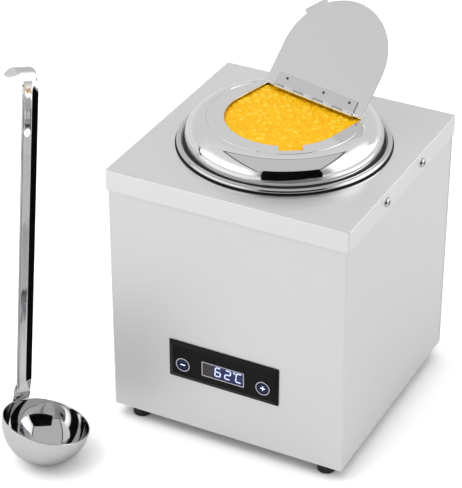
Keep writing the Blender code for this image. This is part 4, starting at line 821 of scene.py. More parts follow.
# %% Make the lid
CREASE_RADIUS = 74.6 * MM
CREASE_HALF = 0.35 * MM
CREASE_DEPTH = 0.55 * MM
EDGE_STEP = 0.12 * MM
disc_radius = LID_WALL_RADIUS - LID_SHOULDER_RADIUS
shoulder_centre = (disc_radius, LID_HEIGHT - LID_SHOULDER_RADIUS)
flange_top = LID_SEAT + LID_SHEET
fillet_centre = (LID_WALL_RADIUS + LID_FILLET_RADIUS, flange_top + LID_FILLET_RADIUS)
upper = np.concatenate([
    arc(shoulder_centre, LID_SHOULDER_RADIUS, pi / 2, 0, 28),
    arc(fillet_centre, LID_FILLET_RADIUS, pi, 1.5 * pi, 5),
    [(LID_FLANGE_RADIUS - 0.2 * MM, flange_top), (LID_FLANGE_RADIUS, flange_top - 0.2 * MM)],
])
lower = np.concatenate([
    arc(shoulder_centre, LID_SHOULDER_RADIUS - LID_SHEET, pi / 2, 0, 16),
    arc(fillet_centre, LID_FILLET_RADIUS + LID_SHEET, pi, 1.5 * pi, 4),
    [(LID_FLANGE_RADIUS, LID_SEAT)],
])[::-1]


def lid_grid():
    """Rows from the opening over a fine crease and the shoulder to the flange, and back inside to the opening."""
    right = atan2(CHORD_BACK, OPENING_CENTRE_X + OPENING_RADIUS)
    left = atan2(CHORD_BACK, OPENING_CENTRE_X - OPENING_RADIUS)
    angle = edge_angles(360, right, left, *tab_breaks(NOTCH_ANGLE, NOTCH_WIDTH, NOTCH_REACH, OPENING_RADIUS))
    edge = u_edge(angle, OPENING_RADIUS, OPENING_CENTRE_X, CHORD_BACK)
    edge = tab_edge(angle, edge, NOTCH_ANGLE, NOTCH_WIDTH, NOTCH_REACH)
    flat_end = CREASE_RADIUS - CREASE_HALF
    rows = []
    for share in (0.0, 0.04, 0.25, 0.5, 0.75, 0.96, 1.0):
        rows.append((edge + EDGE_STEP * (1 - share) + (flat_end - edge) * share, LID_HEIGHT))
    rows += [(CREASE_RADIUS, LID_HEIGHT - CREASE_DEPTH), (CREASE_RADIUS + CREASE_HALF, LID_HEIGHT)]
    rows += [(disc_radius - 0.15 * MM, LID_HEIGHT), *upper, *lower]
    rows += [(edge + (disc_radius - edge) * share, LID_HEIGHT - LID_SHEET) for share in (0.66, 0.33, 0.0)]
    rows.append((edge, LID_HEIGHT - EDGE_STEP))
    return polar_grid(rows, angle)


dress(from_grid("polished_lid", lid_grid(), LID, 25, closed=True), "lid", LID_STEEL, "polished_stainless", "lid_dome")

# %% [markdown]
# ## Painted shade at the lid's edge
#
# Between the lid's shoulder and the bright bead runs a second black line, the shaded gap between them. A thin black
# edging
# paints that shade: it lies in the fold where the shoulder meets the flange, follows it outwards and stops a little
# past the flange.

# %% Make the lid's ring of painted shade
LID_SHADE_SHEET = 0.35 * MM
lid_shade_profile = np.concatenate([
    arc(fillet_centre, LID_FILLET_RADIUS - LID_SHADE_SHEET, pi, 1.5 * pi, 6),
    [(LID_FLANGE_RADIUS + 0.1 * MM, flange_top + LID_SHADE_SHEET), (LID_FLANGE_RADIUS + 0.3 * MM, flange_top + 0.2 * MM)],
    [(LID_FLANGE_RADIUS + 0.2 * MM, flange_top), (LID_FLANGE_RADIUS - 0.3 * MM, flange_top - 0.02 * MM)],
    arc(fillet_centre, LID_FILLET_RADIUS + 0.02 * MM, 1.5 * pi, pi, 6),
])
# A black ring stands in for the shaded gap between lid and bead: painted shade.
dress(turned("lid_painted_shade", lid_shade_profile, LID, 192, closed=True), "lid", BLACK_RUBBER, "black_rubber")

# %% [markdown]
# ## Hinge
#
# Two leaves of sheet curl round one pin in turn, four knuckles each. A knuckle is a strip that leaves the
# leaf and wraps the pin, so its section is a straight line that runs into most of a circle. The same
# outline, drawn out along the pin, makes each knuckle.

# %% Make the hinge
CURL_RADIUS = KNUCKLE_RADIUS - LEAF_SHEET / 2
CURL_TURN = 1.62 * pi
hinge_start = HINGE_CENTRE_X - HINGE_LENGTH / 2
knuckle_length = HINGE_LENGTH / KNUCKLE_COUNT


def along_x(name, outline, start, end, place, soft=0.12 * MM):
    """A piece with a closed outline in Y and Z, drawn out along X, its two ends drawn in a little at the rim."""
    centre = outline.mean(axis=0)
    rows = []
    for x, shrink in ((start, 0.985), (start + soft, 1.0), (end - soft, 1.0), (end, 0.985)):
        rows.append(np.column_stack([np.full(len(outline), x), centre + (outline - centre) * shrink]))
    return from_grid(name, np.array(rows), place, ends=True)


def leaf(name, place, side, height, first, body, node):
    """One leaf: a plate on one side of the pin, and every second knuckle curled from it."""
    near, far, bevel = side * (KNUCKLE_RADIUS + SEAT_GAP), side * LEAF_WIDTH, side * 0.2 * MM
    half = LEAF_SHEET / 2
    low_side = [(near, -half), (far - bevel, -half), (far, -half / 2)]
    section = np.array(low_side + [(y, -z) for y, z in reversed(low_side)]) + (0, height)
    pieces = [along_x(name, section, hinge_start, hinge_start + HINGE_LENGTH, place)]
    level = -1 if height < 0 else 1
    curl = arc((0, 0), CURL_RADIUS, level * pi / 2, level * (pi / 2 + side * CURL_TURN), 21)
    lead_in = [(side * (KNUCKLE_RADIUS + 1.0 * MM), height), (side * 0.6 * MM, level * CURL_RADIUS)]
    outline = wall(np.concatenate([lead_in, curl]), LEAF_SHEET * 0.96)
    for index in range(first, KNUCKLE_COUNT, 2):
        low = hinge_start + index * knuckle_length + SEAT_GAP / 2
        pieces.append(along_x(name + "_knuckle", outline, low, low + knuckle_length - SEAT_GAP, place))
    dress(joined(pieces), body, HINGE_STEEL, "hinge_stainless", node)


leaf("fixed_leaf", HINGE_LINE, 1, SEAT_GAP + LEAF_SHEET / 2 - HINGE_RISE, 0, "lid", "hinge_lid_leaf")
leaf("flap_leaf", FLAP, -1, -HINGE_RISE - LEAF_SHEET / 2, 1, "flap", "hinge_flap_leaf")

pin_half = HINGE_LENGTH / 2 + SEAT_GAP
pin_head = [(0, 0.8 * MM), (1.2 * MM, 0.8 * MM), (1.8 * MM, 0.4 * MM), (1.8 * MM, 0), (PIN_RADIUS, 0)]
pin_end = np.array(pin_head) + (0, pin_half)
pin_place = HINGE_LINE @ move(HINGE_CENTRE_X, 0, 0) @ rotate(pi / 2, "Y")
pin = turned("headed_pin", np.concatenate([pin_end, pin_end[::-1] * (1, -1)]), pin_place, 32)
dress(pin, "lid", HINGE_STEEL, "hinge_stainless", "hinge_pin")

# %% Make the rivets
RIVET_HEAD = (1.35 * MM, 0.6 * MM)
RIVETED = (
    ("lid", LID @ move(0, HINGE_BACK + RIVET_SETBACK, 0), LID_HEIGHT - LID_SHEET, LID_HEIGHT + SEAT_GAP + LEAF_SHEET),
    ("flap", FLAP @ move(0, -RIVET_SETBACK, 0), -HINGE_RISE - LEAF_SHEET, SEAT_GAP - HINGE_RISE + FLAP_SHEET),
)


def rivet(node, body, place, low, high):
    """A rivet through two sheets: a low dome above and below, with its shank between them."""
    cap = arc((0, 0), 1.0, pi / 2, 0, 8) * RIVET_HEAD
    shank = [(PIN_RADIUS, high), (PIN_RADIUS, low)]
    profile = np.concatenate([cap + (0, high), shank, cap[::-1] * (1, -1) + (0, low)])
    dress(turned("domed_" + node, profile, place, 32), body, RIVET_STEEL, "hinge_stainless", node)


for number, share in enumerate(RIVET_SHARES, 1):
    for body, place, low, high in RIVETED:
        spot = place @ move(share * HINGE_LENGTH, 0, 0)
        rivet(f"{body}_rivet_{number}", body, spot, low - SEAT_GAP, high + SEAT_GAP)

# %% [markdown]
# ## Flap
#
# The flap is a flat plate with a round end and a square finger tab. Its edge is the same kind of polar
# curve as the lid's opening, seen from the middle of its round end. Rows shrink towards that middle, and
# the first and last rows step in a little at the rim, so the sheet's edge is softened as if deburred.

# %% Make the flap
def flap_grid(soft=0.2 * MM):
    """Loops of the plate's edge drawn towards the middle: top face, softened rim and bottom face."""
    middle_y = -(FLAP_LENGTH - FLAP_RADIUS)
    back = -FLAP_SETBACK - middle_y
    tab_reach = FLAP_RADIUS + TAB_REACH
    breaks = tab_breaks(TAB_ANGLE, TAB_WIDTH, tab_reach, FLAP_RADIUS)
    angle = edge_angles(240, atan2(back, FLAP_RADIUS), atan2(back, -FLAP_RADIUS), *breaks)
    edge = tab_edge(angle, u_edge(angle, FLAP_RADIUS, 0.0, back), TAB_ANGLE, TAB_WIDTH, tab_reach)
    low = SEAT_GAP - HINGE_RISE
    high = low + FLAP_SHEET
    rows = [(0, low), (0.5 * edge, low), (edge - soft, low), (edge, low + soft)]
    rows += [(edge, high - soft), (edge - soft, high), (0.5 * edge, high), (0, high)]
    return polar_grid(rows, angle, (FLAP_CENTRE_X, middle_y))


dress(from_grid("flap_sheet", flap_grid(), FLAP, 25), "flap", FLAP_STEEL, "brushed_stainless", "flap_plate")

# %% [markdown]
# ## Control panel
#
# The panel is a moulded frame with a wide chamfer, standing a little proud of the front. Its face has a
# window and two round holes. It is made as loops that step inwards from the back edge over the chamfer
# to the face, and the three holes and the hollow behind are cut from that closed block.

# %% Make the bezel
PANEL_BACK = -CASING_HALF - SEAT_GAP
PANEL_FRONT = PANEL_BACK - 2.4 * MM
PANEL_CHAMFER = 4.2 * MM
PANEL_FACE = 1.8 * MM
PANEL_BODY_WALL = 2.0 * MM
BODY_BACK = -CASING_HALF + 7.0 * MM
WINDOW_WIDTH = 45.5 * MM
WINDOW_HEIGHT = 16.5 * MM
WINDOW_Z = PANEL_Z - 1.8 * MM
BUTTON_RADIUS = 7.7 * MM
BUTTON_SPACING = 85.8 * MM
BUTTON_Z = PANEL_Z - 3.8 * MM
BUTTON_PROUD = 0.6 * MM
face_back = PANEL_FRONT + PANEL_FACE


def on_panel(y, z, side=0):
    """A place on the panel's middle line, or at the middle of its left or right button."""
    return KETTLE @ move(PANEL_CENTRE_X + side * BUTTON_SPACING / 2, y, z)


def bezel_loops():
    """Body, collar, back edge, chamfer and face, as loops from back to front."""
    body = rounded_loop(body_width, body_height, 1.0 * MM)
    steps = (
        (0, 1.0 * MM, PANEL_BACK),
        (0, 1.0 * MM, PANEL_BACK - 0.4 * MM),
        (0.3 * MM, 1.0 * MM, PANEL_BACK - 0.6 * MM),
        (2 * PANEL_CHAMFER, 0.6 * MM, PANEL_FRONT + 0.15 * MM),
        (2 * PANEL_CHAMFER + 0.6 * MM, 0.5 * MM, PANEL_FRONT),
    )
    front = [(rounded_loop(PANEL_WIDTH - less, PANEL_HEIGHT - less, corner), y) for less, corner, y in steps]
    return [(body, BODY_BACK), (body, PANEL_BACK + 0.02 * MM)] + front


bezel = stacked("moulded_bezel", bezel_loops(), on_panel(0, PANEL_Z), 20)
hollow = BODY_BACK + 2 * MM - face_back
inner_width, inner_height = body_width - 2 * PANEL_BODY_WALL, body_height - 2 * PANEL_BODY_WALL
cut(bezel, block(inner_width, hollow, inner_height, on_panel(face_back + hollow / 2, PANEL_Z)))
window_place = on_panel(PANEL_FRONT, WINDOW_Z)
cut(bezel, block(WINDOW_WIDTH + 2 * SEAT_GAP, 10 * MM, WINDOW_HEIGHT + 2 * SEAT_GAP, window_place, 0.5 * MM))
for side in (-1, 1):
    place = on_panel(PANEL_FRONT, BUTTON_Z, side) @ rotate(pi / 2, "X")
    cut(bezel, drill(BUTTON_RADIUS + SEAT_GAP, 5 * MM, place), 20)
dress(bezel, "case", BLACK_PLASTIC, "black_plastic", "panel_bezel")

# %% [markdown]
# ## Display and buttons
#
# Behind a smoked window, a lit module shows a plain temperature. Each figure is built from seven bars, as
# on the real module, and a bar is a long hexagon. The bars are thin solids that glow, and the module's
# face behind them glows faintly blue, stronger towards the figures. The buttons are dark blue caps with
# a white ring and a plain minus or plus.

# %% Make the display finishes
def glowing(name, colour, strength):
    """A lit surface: the glow is the shader's own emission, over a dark base."""
    made, tree, shader = shader_of(name, (0.02, 0.02, 0.03), 0.5, Emission_Strength=strength)
    cloud = noise(tree, coordinates(tree), 900.0, 1.0)
    dimmer = (*[value * 0.92 for value in colour], 1)
    fill(tree, shader, Emission_Color=mix(tree, cloud, dimmer, (*colour, 1), "RGBA"))
    return made


def backlit(name, left_colour, right_colour, start, end):
    """The module's face: a dark brownish left side that turns to a blue glow towards the figures."""
    made, tree, shader = shader_of(name, grey(0.02), 0.4, Emission_Strength=1.0)
    place = coordinates(tree)
    share = ramp(tree, add(tree, "SeparateXYZ", Vector=place).outputs["X"], start, end, 0.0, 1.0)
    cloudy = math_node(tree, "MULTIPLY", share, ramp(tree, noise(tree, place, 260.0), 0.2, 0.8, 0.6, 1.3))
    fill(tree, shader, Emission_Color=mix(tree, cloudy, (*left_colour, 1), (*right_colour, 1), "RGBA"))
    return made


def smoked_glass():
    """The window: a clear, slightly smoky sheet with faint marks."""
    made, tree, shader = shader_of("smoked window", (0.62, 0.62, 0.66), 0.03, Transmission_Weight=1.0, IOR=1.30)
    marks = place_group(tree, MARKS, Size=40.0, Strength=0.02)
    fill(tree, shader, Roughness=math_node(tree, "ADD", marks["Roughness Change"], 0.015))
    return made


window_left = kettle_x + PANEL_CENTRE_X - WINDOW_WIDTH / 2
glow_start, glow_end = window_left + 8 * MM, window_left + 17 * MM
FIGURE_GLOW = glowing("lit figures", (0.62, 0.72, 1.0), 2.4)
MODULE_FACE = backlit("display module face", (0.055, 0.043, 0.040), (0.014, 0.017, 0.13), glow_start, glow_end)
WINDOW_GLASS = smoked_glass()
print("materials", len(bpy.data.materials))

# %% Make the window, its outline and the module
PANE = 1.5 * MM
OUTLINE_WIDTH = 0.75 * MM
OUTLINE_INSET = 0.3 * MM
module_front = face_back + SEAT_GAP
window_place = on_panel(0, WINDOW_Z)
window_loop = rounded_loop(WINDOW_WIDTH, WINDOW_HEIGHT, 0.5 * MM)
window = stacked("smoked_pane", [(window_loop, face_back - PANE), (window_loop, face_back)], window_place)
dress(window, "case", WINDOW_GLASS, "smoked_window", "display_window")

module_loop = rounded_loop(WINDOW_WIDTH + 2 * PANEL_BODY_WALL, WINDOW_HEIGHT + PANEL_BODY_WALL, 0.6 * MM)
module = stacked("display_block", [(module_loop, module_front), (module_loop, BODY_BACK)], window_place)
dress(module, "case", MODULE_FACE, "black_plastic", "display_module")

outer, inner = (
    rounded_loop(WINDOW_WIDTH - less, WINDOW_HEIGHT - less, corner)
    for less, corner in ((OUTLINE_INSET, 0.4 * MM), (OUTLINE_INSET + 2 * OUTLINE_WIDTH, 0.3 * MM))
)
back, front = face_back - PANE - 0.02 * MM, face_back - PANE - 0.12 * MM
outline_loops = [(inner, back), (outer, back), (outer, front), (inner, front)]
dress(stacked("window_outline", outline_loops, window_place, closed=True), "case", OUTLINE_WHITE, "white_plastic")

# %% Make the figures
# Bars of a seven-bar figure: across and up in shares of the figure's width and half height, and if upright.
BARS = {
    "top": (0.5, 2.0, False),
    "middle": (0.5, 1.0, False),
    "bottom": (0.5, 0.0, False),
    "upper_left": (0.0, 1.5, True),
    "upper_right": (1.0, 1.5, True),
    "lower_left": (0.0, 0.5, True),
    "lower_right": (1.0, 0.5, True),
}
FIGURES = (
    ("figure_six", 13.6 * MM, ("top", "middle", "bottom", "upper_left", "lower_left", "lower_right")),
    ("figure_two", 24.2 * MM, ("top", "middle", "bottom", "upper_right", "lower_left")),
    ("figure_degrees", 36.0 * MM, ("top", "bottom", "upper_left", "lower_left")),
)
FIGURE_WIDTH = 5.6 * MM
FIGURE_HALF = 4.9 * MM
BAR_WIDTH = 1.25 * MM
BAR_SHARE = 0.94
FIGURE_SLANT = 0.09
figure_bottom = -WINDOW_HEIGHT / 2 + 3.2 * MM


def bar_loop(length, width, upright):
    """A long hexagon in X and Z about its middle, lying or upright."""
    reach, half = length / 2, width / 2
    knee = reach - half
    along = np.array([-reach, -knee, knee, reach, knee, -knee])
    across = np.array([0, half, half, 0, -half, -half])
    return np.stack([across, along] if upright else [along, across], axis=1)


def figure(name, left, bars):
    """A lit figure from its bars, slanted by moving each point sideways with its height."""
    pieces = []
    for bar in bars:
        across, up, upright = BARS[bar]
        loop = bar_loop((FIGURE_HALF if upright else FIGURE_WIDTH) * BAR_SHARE, BAR_WIDTH, upright)
        loop += (across * FIGURE_WIDTH, up * FIGURE_HALF)
        loop[:, 0] += loop[:, 1] * FIGURE_SLANT
        loop += (left - WINDOW_WIDTH / 2, figure_bottom)
        depths = (module_front - 0.10 * MM, module_front - 0.25 * MM)
        pieces.append(stacked(name, [(loop, depth) for depth in depths], window_place))
    dress(joined(pieces), "case", FIGURE_GLOW, "smoked_window")


for name, left, bars in FIGURES:
    figure(name, left, bars)
degree_top = figure_bottom + 2 * FIGURE_HALF - 0.4 * MM
degree_place = window_place @ move(34.4 * MM - WINDOW_WIDTH / 2, module_front - 0.18 * MM, degree_top) @ rotate(pi / 2, "X")
degree = np.array([(0.55, 0.07), (1.15, 0.07), (1.15, -0.07), (0.55, -0.07)]) * MM
dress(turned("degree_sign", degree, degree_place, 24, closed=True), "case", FIGURE_GLOW, "smoked_window")

# %% Make the buttons
button_face = PANEL_FRONT - BUTTON_PROUD


def button(side, node, body, marks):
    """A cap with a dished face, a raised white ring round it, and a plain sign of one or two bars on it."""
    place = on_panel(button_face, BUTTON_Z, side) @ rotate(pi / 2, "X")
    back = -(BUTTON_PROUD + PANEL_FACE + SEAT_GAP)
    profile = np.concatenate([
        [(0, -0.25 * MM)],
        arc((BUTTON_RADIUS - 1.3 * MM, -0.05 * MM), 0.2 * MM, -pi / 2, 0, 3),
        [(BUTTON_RADIUS - 0.25 * MM, -0.05 * MM), (BUTTON_RADIUS, -0.3 * MM)],
        [(BUTTON_RADIUS, back), (8.8 * MM, back), (8.8 * MM, back - 1.0 * MM)],
        [(2.0 * MM, back - 1.0 * MM), (2.0 * MM, back - 1.4 * MM), (0, back - 1.4 * MM)],
    ])
    dress(turned("cap_" + node, profile, place, 72), body, BUTTON_BLUE, "button_blue", node)
    ring = np.array([(-1.15, -0.22), (-1.05, 0.0), (-0.30, 0.0), (-0.15, -0.22)]) * MM + (BUTTON_RADIUS, 0)
    dress(turned("ring_" + node, ring, place, 72, closed=True), body, RING_WHITE, "white_plastic")
    for number, (width, height) in enumerate(marks, 1):
        loop = rounded_loop(width, height, 0.25 * MM, 3)
        spot = on_panel(button_face + 0.2 * MM, BUTTON_Z, side)
        sign = stacked(f"sign_{node}_{number}", [(loop, -0.02 * MM), (loop, 0.12 * MM)], spot)
        dress(sign, body, FIGURE_GLOW, "button_blue")


LYING, STANDING = (5.0 * MM, 0.9 * MM), (0.9 * MM, 5.0 * MM)
button(-1, "button_left", "left_button", [LYING])
button(1, "button_right", "right_button", [LYING, STANDING])

# %% [markdown]
# ## Cord gland
#
# The gland is turned too, but its nut has six flats and its nose has ribs for grip. Both come from the
# same revolved grid: the radius at each angle is multiplied by a function of that angle.

# %% Make the gland
# Radius and height in mm, from the nose to the inner end.
GLAND_ROWS = (
    (3.6, 15.0, "plain"), (5.2, 15.0, "plain"), (6.2, 14.6, "plain"), (6.8, 13.6, "ribs"), (7.0, 9.2, "ribs"),
    (7.0, 8.3, "plain"), (7.6, 8.0, "plain"), (9.6, 8.0, "plain"), (10.5, 7.3, "hexagon"), (10.5, 0.4, "hexagon"),
    (10.0, 0.0, "plain"), (7.5, 0.0, "plain"), (7.5, -6.9, "plain"), (3.6, -6.9, "plain"),
)


def gland_grid(ribs=18):
    """Rows of radius and height. The nut's radius is cut back to a hexagon, and the nose's carries ribs."""
    angle = full_circle(144)
    wave = np.cos(ribs * angle)
    shape = {
        "plain": 1.0,
        "ribs": 1 + 0.035 * np.sign(wave) * np.abs(wave) ** 0.4,
        "hexagon": np.minimum(0.885 / np.cos((angle + pi / 6) % (pi / 3) - pi / 6), 1.0),
    }
    return polar_grid([(radius * MM * shape[kind], height * MM) for radius, height, kind in GLAND_ROWS], angle)


x, _, z = middle_of("cord_gland")
gland_place = move(x, kettle_y + CASING_HALF + SEAT_GAP, z) @ rotate(-pi / 2, "X")
gland = from_grid("ribbed_gland", gland_grid(), gland_place, 25, closed=True)
dress(gland, "case", BLACK_PLASTIC, "black_plastic", "cord_gland")

# %% [markdown]
# ## Ladle
#
# The bowl is half a ball of 1 mm sheet with a rounded rim, so it is turned. The handle is a pressed
# strip, welded to the bowl's back. Its two edges are bent forward a little, which stiffens it, and that bend
# fades out at the neck and under the hook. It is a section carried along a path, where the bend and the
# width are functions of the distance along the path.

# %% Make the ladle's bowl
BOWL_RADIUS = 42.8 * MM
BOWL_SHEET = 1.0 * MM
LADLE_LEAN = Euler((radians(15.1), radians(-2.75), radians(155.64))).to_matrix().to_4x4()
LADLE = KETTLE @ move(-146.8 * MM, -214.3 * MM, BOWL_RADIUS) @ LADLE_LEAN
bowl_profile = np.concatenate([
    arc((0, 0), BOWL_RADIUS, -pi / 2, 0, 48),
    arc((BOWL_RADIUS - BOWL_SHEET / 2, 0), BOWL_SHEET / 2, 0, pi, 6)[1:-1],
    arc((0, 0), BOWL_RADIUS - BOWL_SHEET, 0, -pi / 2, 48),
])
bowl_profile[[0, -1], 0] = 0
dress(turned("ladle_bowl_shell", bowl_profile, LADLE, 160), "ladle", LADLE_STEEL, "polished_stainless", "ladle_bowl")

# %% Make the ladle's handle
HANDLE_SHEET = 1.5 * MM
HANDLE_TOP_WIDTH = 21.0 * MM
HANDLE_NECK_WIDTH = 19.2 * MM
HANDLE_SLOPE = radians(17.1)
HANDLE_LENGTH = 303 * MM
HANDLE_NECK_RISE = 4.5 * MM
HANDLE_NECK_BEND = 4.5 * MM
HANDLE_LAP_ANGLE = radians(24)
HOOK_RADIUS = 11 * MM
HOOK_ANGLE = radians(123)
HOOK_TAIL = 17 * MM
HANDLE_HOLE_RADIUS = 4 * MM
HANDLE_HOLE_BACK = 50 * MM
EDGE_BEND = radians(34)
BENT_FROM = 0.42
BENT_FULLY = 0.16
ACROSS = np.array([0.18, 0.36, 0.46, 0.55, 0.7, 0.85, 0.97, 1])
ACROSS = np.concatenate([-ACROSS[::-1], [0], ACROSS])


def handle_path():
    """Middle line (out, up): round the bowl's back, off it in a short bend, up the slope, and over the hook."""
    middle = BOWL_RADIUS + SEAT_GAP + HANDLE_SHEET / 2
    along = np.array([sin(HANDLE_SLOPE), cos(HANDLE_SLOPE)])
    neck = np.array([middle + HANDLE_SHEET, HANDLE_NECK_RISE + HANDLE_NECK_BEND])
    top = neck + along * HANDLE_LENGTH
    low = np.array([middle, HANDLE_NECK_RISE * 0.4])
    knee = np.array([middle, neck[1] - 2.0 * MM])
    bend_end = neck + along * 4 * MM
    share = np.linspace(0, 1, 9)[1:, None]
    bend = (1 - share) ** 2 * low + 2 * share * (1 - share) * knee + share**2 * bend_end
    rise = np.linspace(bend_end, top, 90)[1:]
    hook_centre = top + np.array([along[1], -along[0]]) * HOOK_RADIUS
    hook = arc(hook_centre, HOOK_RADIUS, pi - HANDLE_SLOPE, pi - HANDLE_SLOPE - HOOK_ANGLE, 28)[1:]
    down = HANDLE_SLOPE + HOOK_ANGLE
    tail = hook[-1] + np.array([sin(down), cos(down)]) * np.linspace(0, HOOK_TAIL, 24)[1:, None]
    lap = arc((0, 0), middle, -HANDLE_LAP_ANGLE, 0, 12)
    return np.concatenate([lap, [low], bend, rise, hook, tail]), top, along


def handle_grid(path, top):
    """At each path point a strip section: its outer parts turn forward by the edge bend's tangent times their
    distance, and both its width and its bend are functions of the distance gone along the path."""
    gone = np.concatenate([[0], np.cumsum(np.linalg.norm(np.diff(path, axis=0), axis=1))])
    left = gone[-1] - gone
    share = np.clip(path[:, 1] / top[1], 0, 1)
    half = (HANDLE_NECK_WIDTH + (HANDLE_TOP_WIDTH - HANDLE_NECK_WIDTH) * share) / 2
    start_round = 1 - np.clip(gone / (6 * MM), 0, 1)
    end_round = 1 - np.clip(left / (HANDLE_TOP_WIDTH / 2), 0, 1)
    half = half * np.sqrt(1 - start_round**2 * 0.35) * np.sqrt(np.maximum(1 - end_round**2, 0.0004))
    fade_in = np.clip((gone - 27 * MM) / (10 * MM), 0, 1)
    fade_out = np.clip((left - HOOK_TAIL - HOOK_ANGLE * HOOK_RADIUS - 2 * MM) / (9 * MM), 0, 1)
    bend = ((fade_in * fade_out) ** 2 * (3 - 2 * fade_in * fade_out))[:, None]
    over = np.maximum(np.abs(ACROSS) - BENT_FROM, 0)
    drop = np.where(over < BENT_FULLY, over**2 / (2 * BENT_FULLY), over - BENT_FULLY / 2)
    drop = -drop * tan(EDGE_BEND) * half[:, None] * bend
    wide = ACROSS * half[:, None] * (1 - 0.10 * bend * (np.abs(ACROSS) > BENT_FROM))
    thin = np.where(np.abs(ACROSS) > 0.96, 0.55, 1.0) * HANDLE_SHEET / 2
    normal = sides_of(path)[:, None, :]
    sheets = []
    for side in (-1, 1):
        point = path[:, None, :] + normal * (drop + side * thin)[..., None]
        sheets.append(np.stack([point[..., 0], wide, point[..., 1]], axis=-1)[:, ::-side])
    return np.concatenate(sheets, axis=1)


path, handle_top, handle_along = handle_path()
handle = from_grid("ladle_handle_strip", handle_grid(path, handle_top), LADLE, 50, ends=True)
hole_at = handle_top - handle_along * HANDLE_HOLE_BACK
hole_place = LADLE @ move(hole_at[0], 0, hole_at[1]) @ rotate(pi / 2 + HANDLE_SLOPE, "Y")
cut(handle, drill(HANDLE_HOLE_RADIUS, 6 * MM, hole_place, 48))
dress(handle, "ladle", LADLE_STEEL, "polished_stainless", "ladle_handle")

# %% [markdown]
# ## Soup
#
# The pot is full of a thick yellow soup that heaps up under the open lid. It is a polar height field: a
# smooth heap, plus 2,400 round lumps. At each grid point the lump that stands highest there wins, so the
# lumps touch in creases as pieces in a thick sauce do. On the slope towards the wall they fade.

# %% Make the soup's surface
SOUP_RADIUS = 90.4 * MM
SOUP_RISE = 22.4 * MM
SOUP_EDGE = 1.5 * MM
SOUP_SKIN = 6 * MM
HEAP_RADIUS = 71 * MM
LUMPS = 2400
LUMPS_AT_ONCE = 50
LUMP_TALLEST = 1.5 * MM


def fallen(x, y):
    """Share of the heap's fall at a point: 0 out to the heap's radius, then a smooth step to 1 at the pot's wall."""
    share = np.clip((np.hypot(x, y) - HEAP_RADIUS) / (SOUP_RADIUS - HEAP_RADIUS), 0, 1)
    return share**2 * (3 - 2 * share)


def heap_height(x, y):
    """Level in the middle, falling smoothly to the pot's wall beyond the heap's radius."""
    return SOUP_EDGE + SOUP_RISE * (1 - fallen(x, y))


def lump_height(x, y, seed=7):
    """At each point the highest of many flattened balls, whose places and sizes come from a seeded draw."""
    rng = np.random.default_rng(seed)
    spot_radius = (SOUP_RADIUS - 1 * MM) * np.sqrt(rng.random(LUMPS))
    spot_angle = rng.random(LUMPS) * 2 * pi
    size = (1.8 + 3.0 * rng.random(LUMPS) ** 2.2) * MM
    rise = np.minimum(size * (0.14 + 0.28 * rng.random(LUMPS)), LUMP_TALLEST)
    spot_x, spot_y = spot_radius * np.cos(spot_angle), spot_radius * np.sin(spot_angle)
    best = np.zeros_like(x)
    for start in range(0, LUMPS, LUMPS_AT_ONCE):
        part = slice(start, start + LUMPS_AT_ONCE)
        gap = np.hypot(x[..., None] - spot_x[part], y[..., None] - spot_y[part]) / size[part]
        ball = rise[part] * np.clip(1 - gap**2, 0, None) ** 1.3
        best = np.maximum(best, ball.max(axis=-1))
    return best * (1 - 0.65 * np.clip(2 * fallen(x, y), 0, 1))


def soup_grid(rings=170, steps=460):
    """Polar grid of the surface, closed by a rim and an underside a little lower."""
    radius = SOUP_RADIUS * np.linspace(0, 1, rings)[:, None] ** 0.9
    angle = full_circle(steps)
    x, y = radius * np.cos(angle), radius * np.sin(angle)
    height = heap_height(x, y) + lump_height(x, y)
    height[0] = height[0].mean()
    underside = polar_grid([(SOUP_RADIUS, -SOUP_SKIN), (0, -SOUP_SKIN)], angle)
    return np.concatenate([np.stack([x, y, height], axis=-1), underside])


soup = from_grid("yellow_soup", soup_grid(), POT, 180)
inverse = np.array(POT.inverted())
place = np.empty(len(soup.data.vertices) * 3)
soup.data.vertices.foreach_get("co", place)
place = place.reshape(-1, 3) @ inverse[:3, :3].T + inverse[:3, 3]
lump_share = soup.data.attributes.new("lump", "FLOAT", "POINT")
lump_share.data.foreach_set("value", (place[:, 2] - heap_height(place[:, 0], place[:, 1])) / LUMP_TALLEST)
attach(soup, "pot")
print("soup faces", len(soup.data.polygons))

# %% Give the soup its finish
# Tints from low to high on the lumps: the darker orange creases are partly painted shade, the pale tops partly painted
# light.
SOUP_TINTS_WITH_PAINTED_SHADE = (
    (0.12, (0.98, 0.45, 0.0)),
    (0.32, (0.98, 0.50, 0.0)),
    (0.62, (0.98, 0.54, 0.0)),
    (0.88, (0.98, 0.66, 0.05)),
)


def soup_finish():
    """Yellow sauce: the lump height tints it from orange creases to pale tops, partly the sauce's own colour and
    partly painted shade in the creases and painted light on the tops; light seeps a way into it.
    """
    made, tree, shader = shader_of(
        "yellow soup", (0.95, 0.50, 0.01), 0.50, Specular_IOR_Level=0.25,
        Subsurface_Weight=0.2, Subsurface_Radius=(1.0, 0.45, 0.05), Subsurface_Scale=0.002,
    )
    height = tree.nodes.new("ShaderNodeAttribute")
    height.attribute_name = "lump"
    place = coordinates(tree)
    lumps = math_node(tree, "MULTIPLY", height.outputs["Fac"], 0.65)
    cloud = math_node(tree, "MULTIPLY", noise(tree, place, 70.0), 0.55)
    tint = add(tree, "ValToRGB", Fac=math_node(tree, "ADD", lumps, cloud))
    while len(tint.color_ramp.elements) < len(SOUP_TINTS_WITH_PAINTED_SHADE):
        tint.color_ramp.elements.new(0.5)
    for element, (position, colour) in zip(tint.color_ramp.elements, SOUP_TINTS_WITH_PAINTED_SHADE):
        element.position = position
        element.color = (*colour, 1)
    fill(tree, shader, Base_Color=tint.outputs["Color"])
    bump(tree, shader, noise(tree, place, 420.0, 2.0), 0.25, 0.0006)
    return made


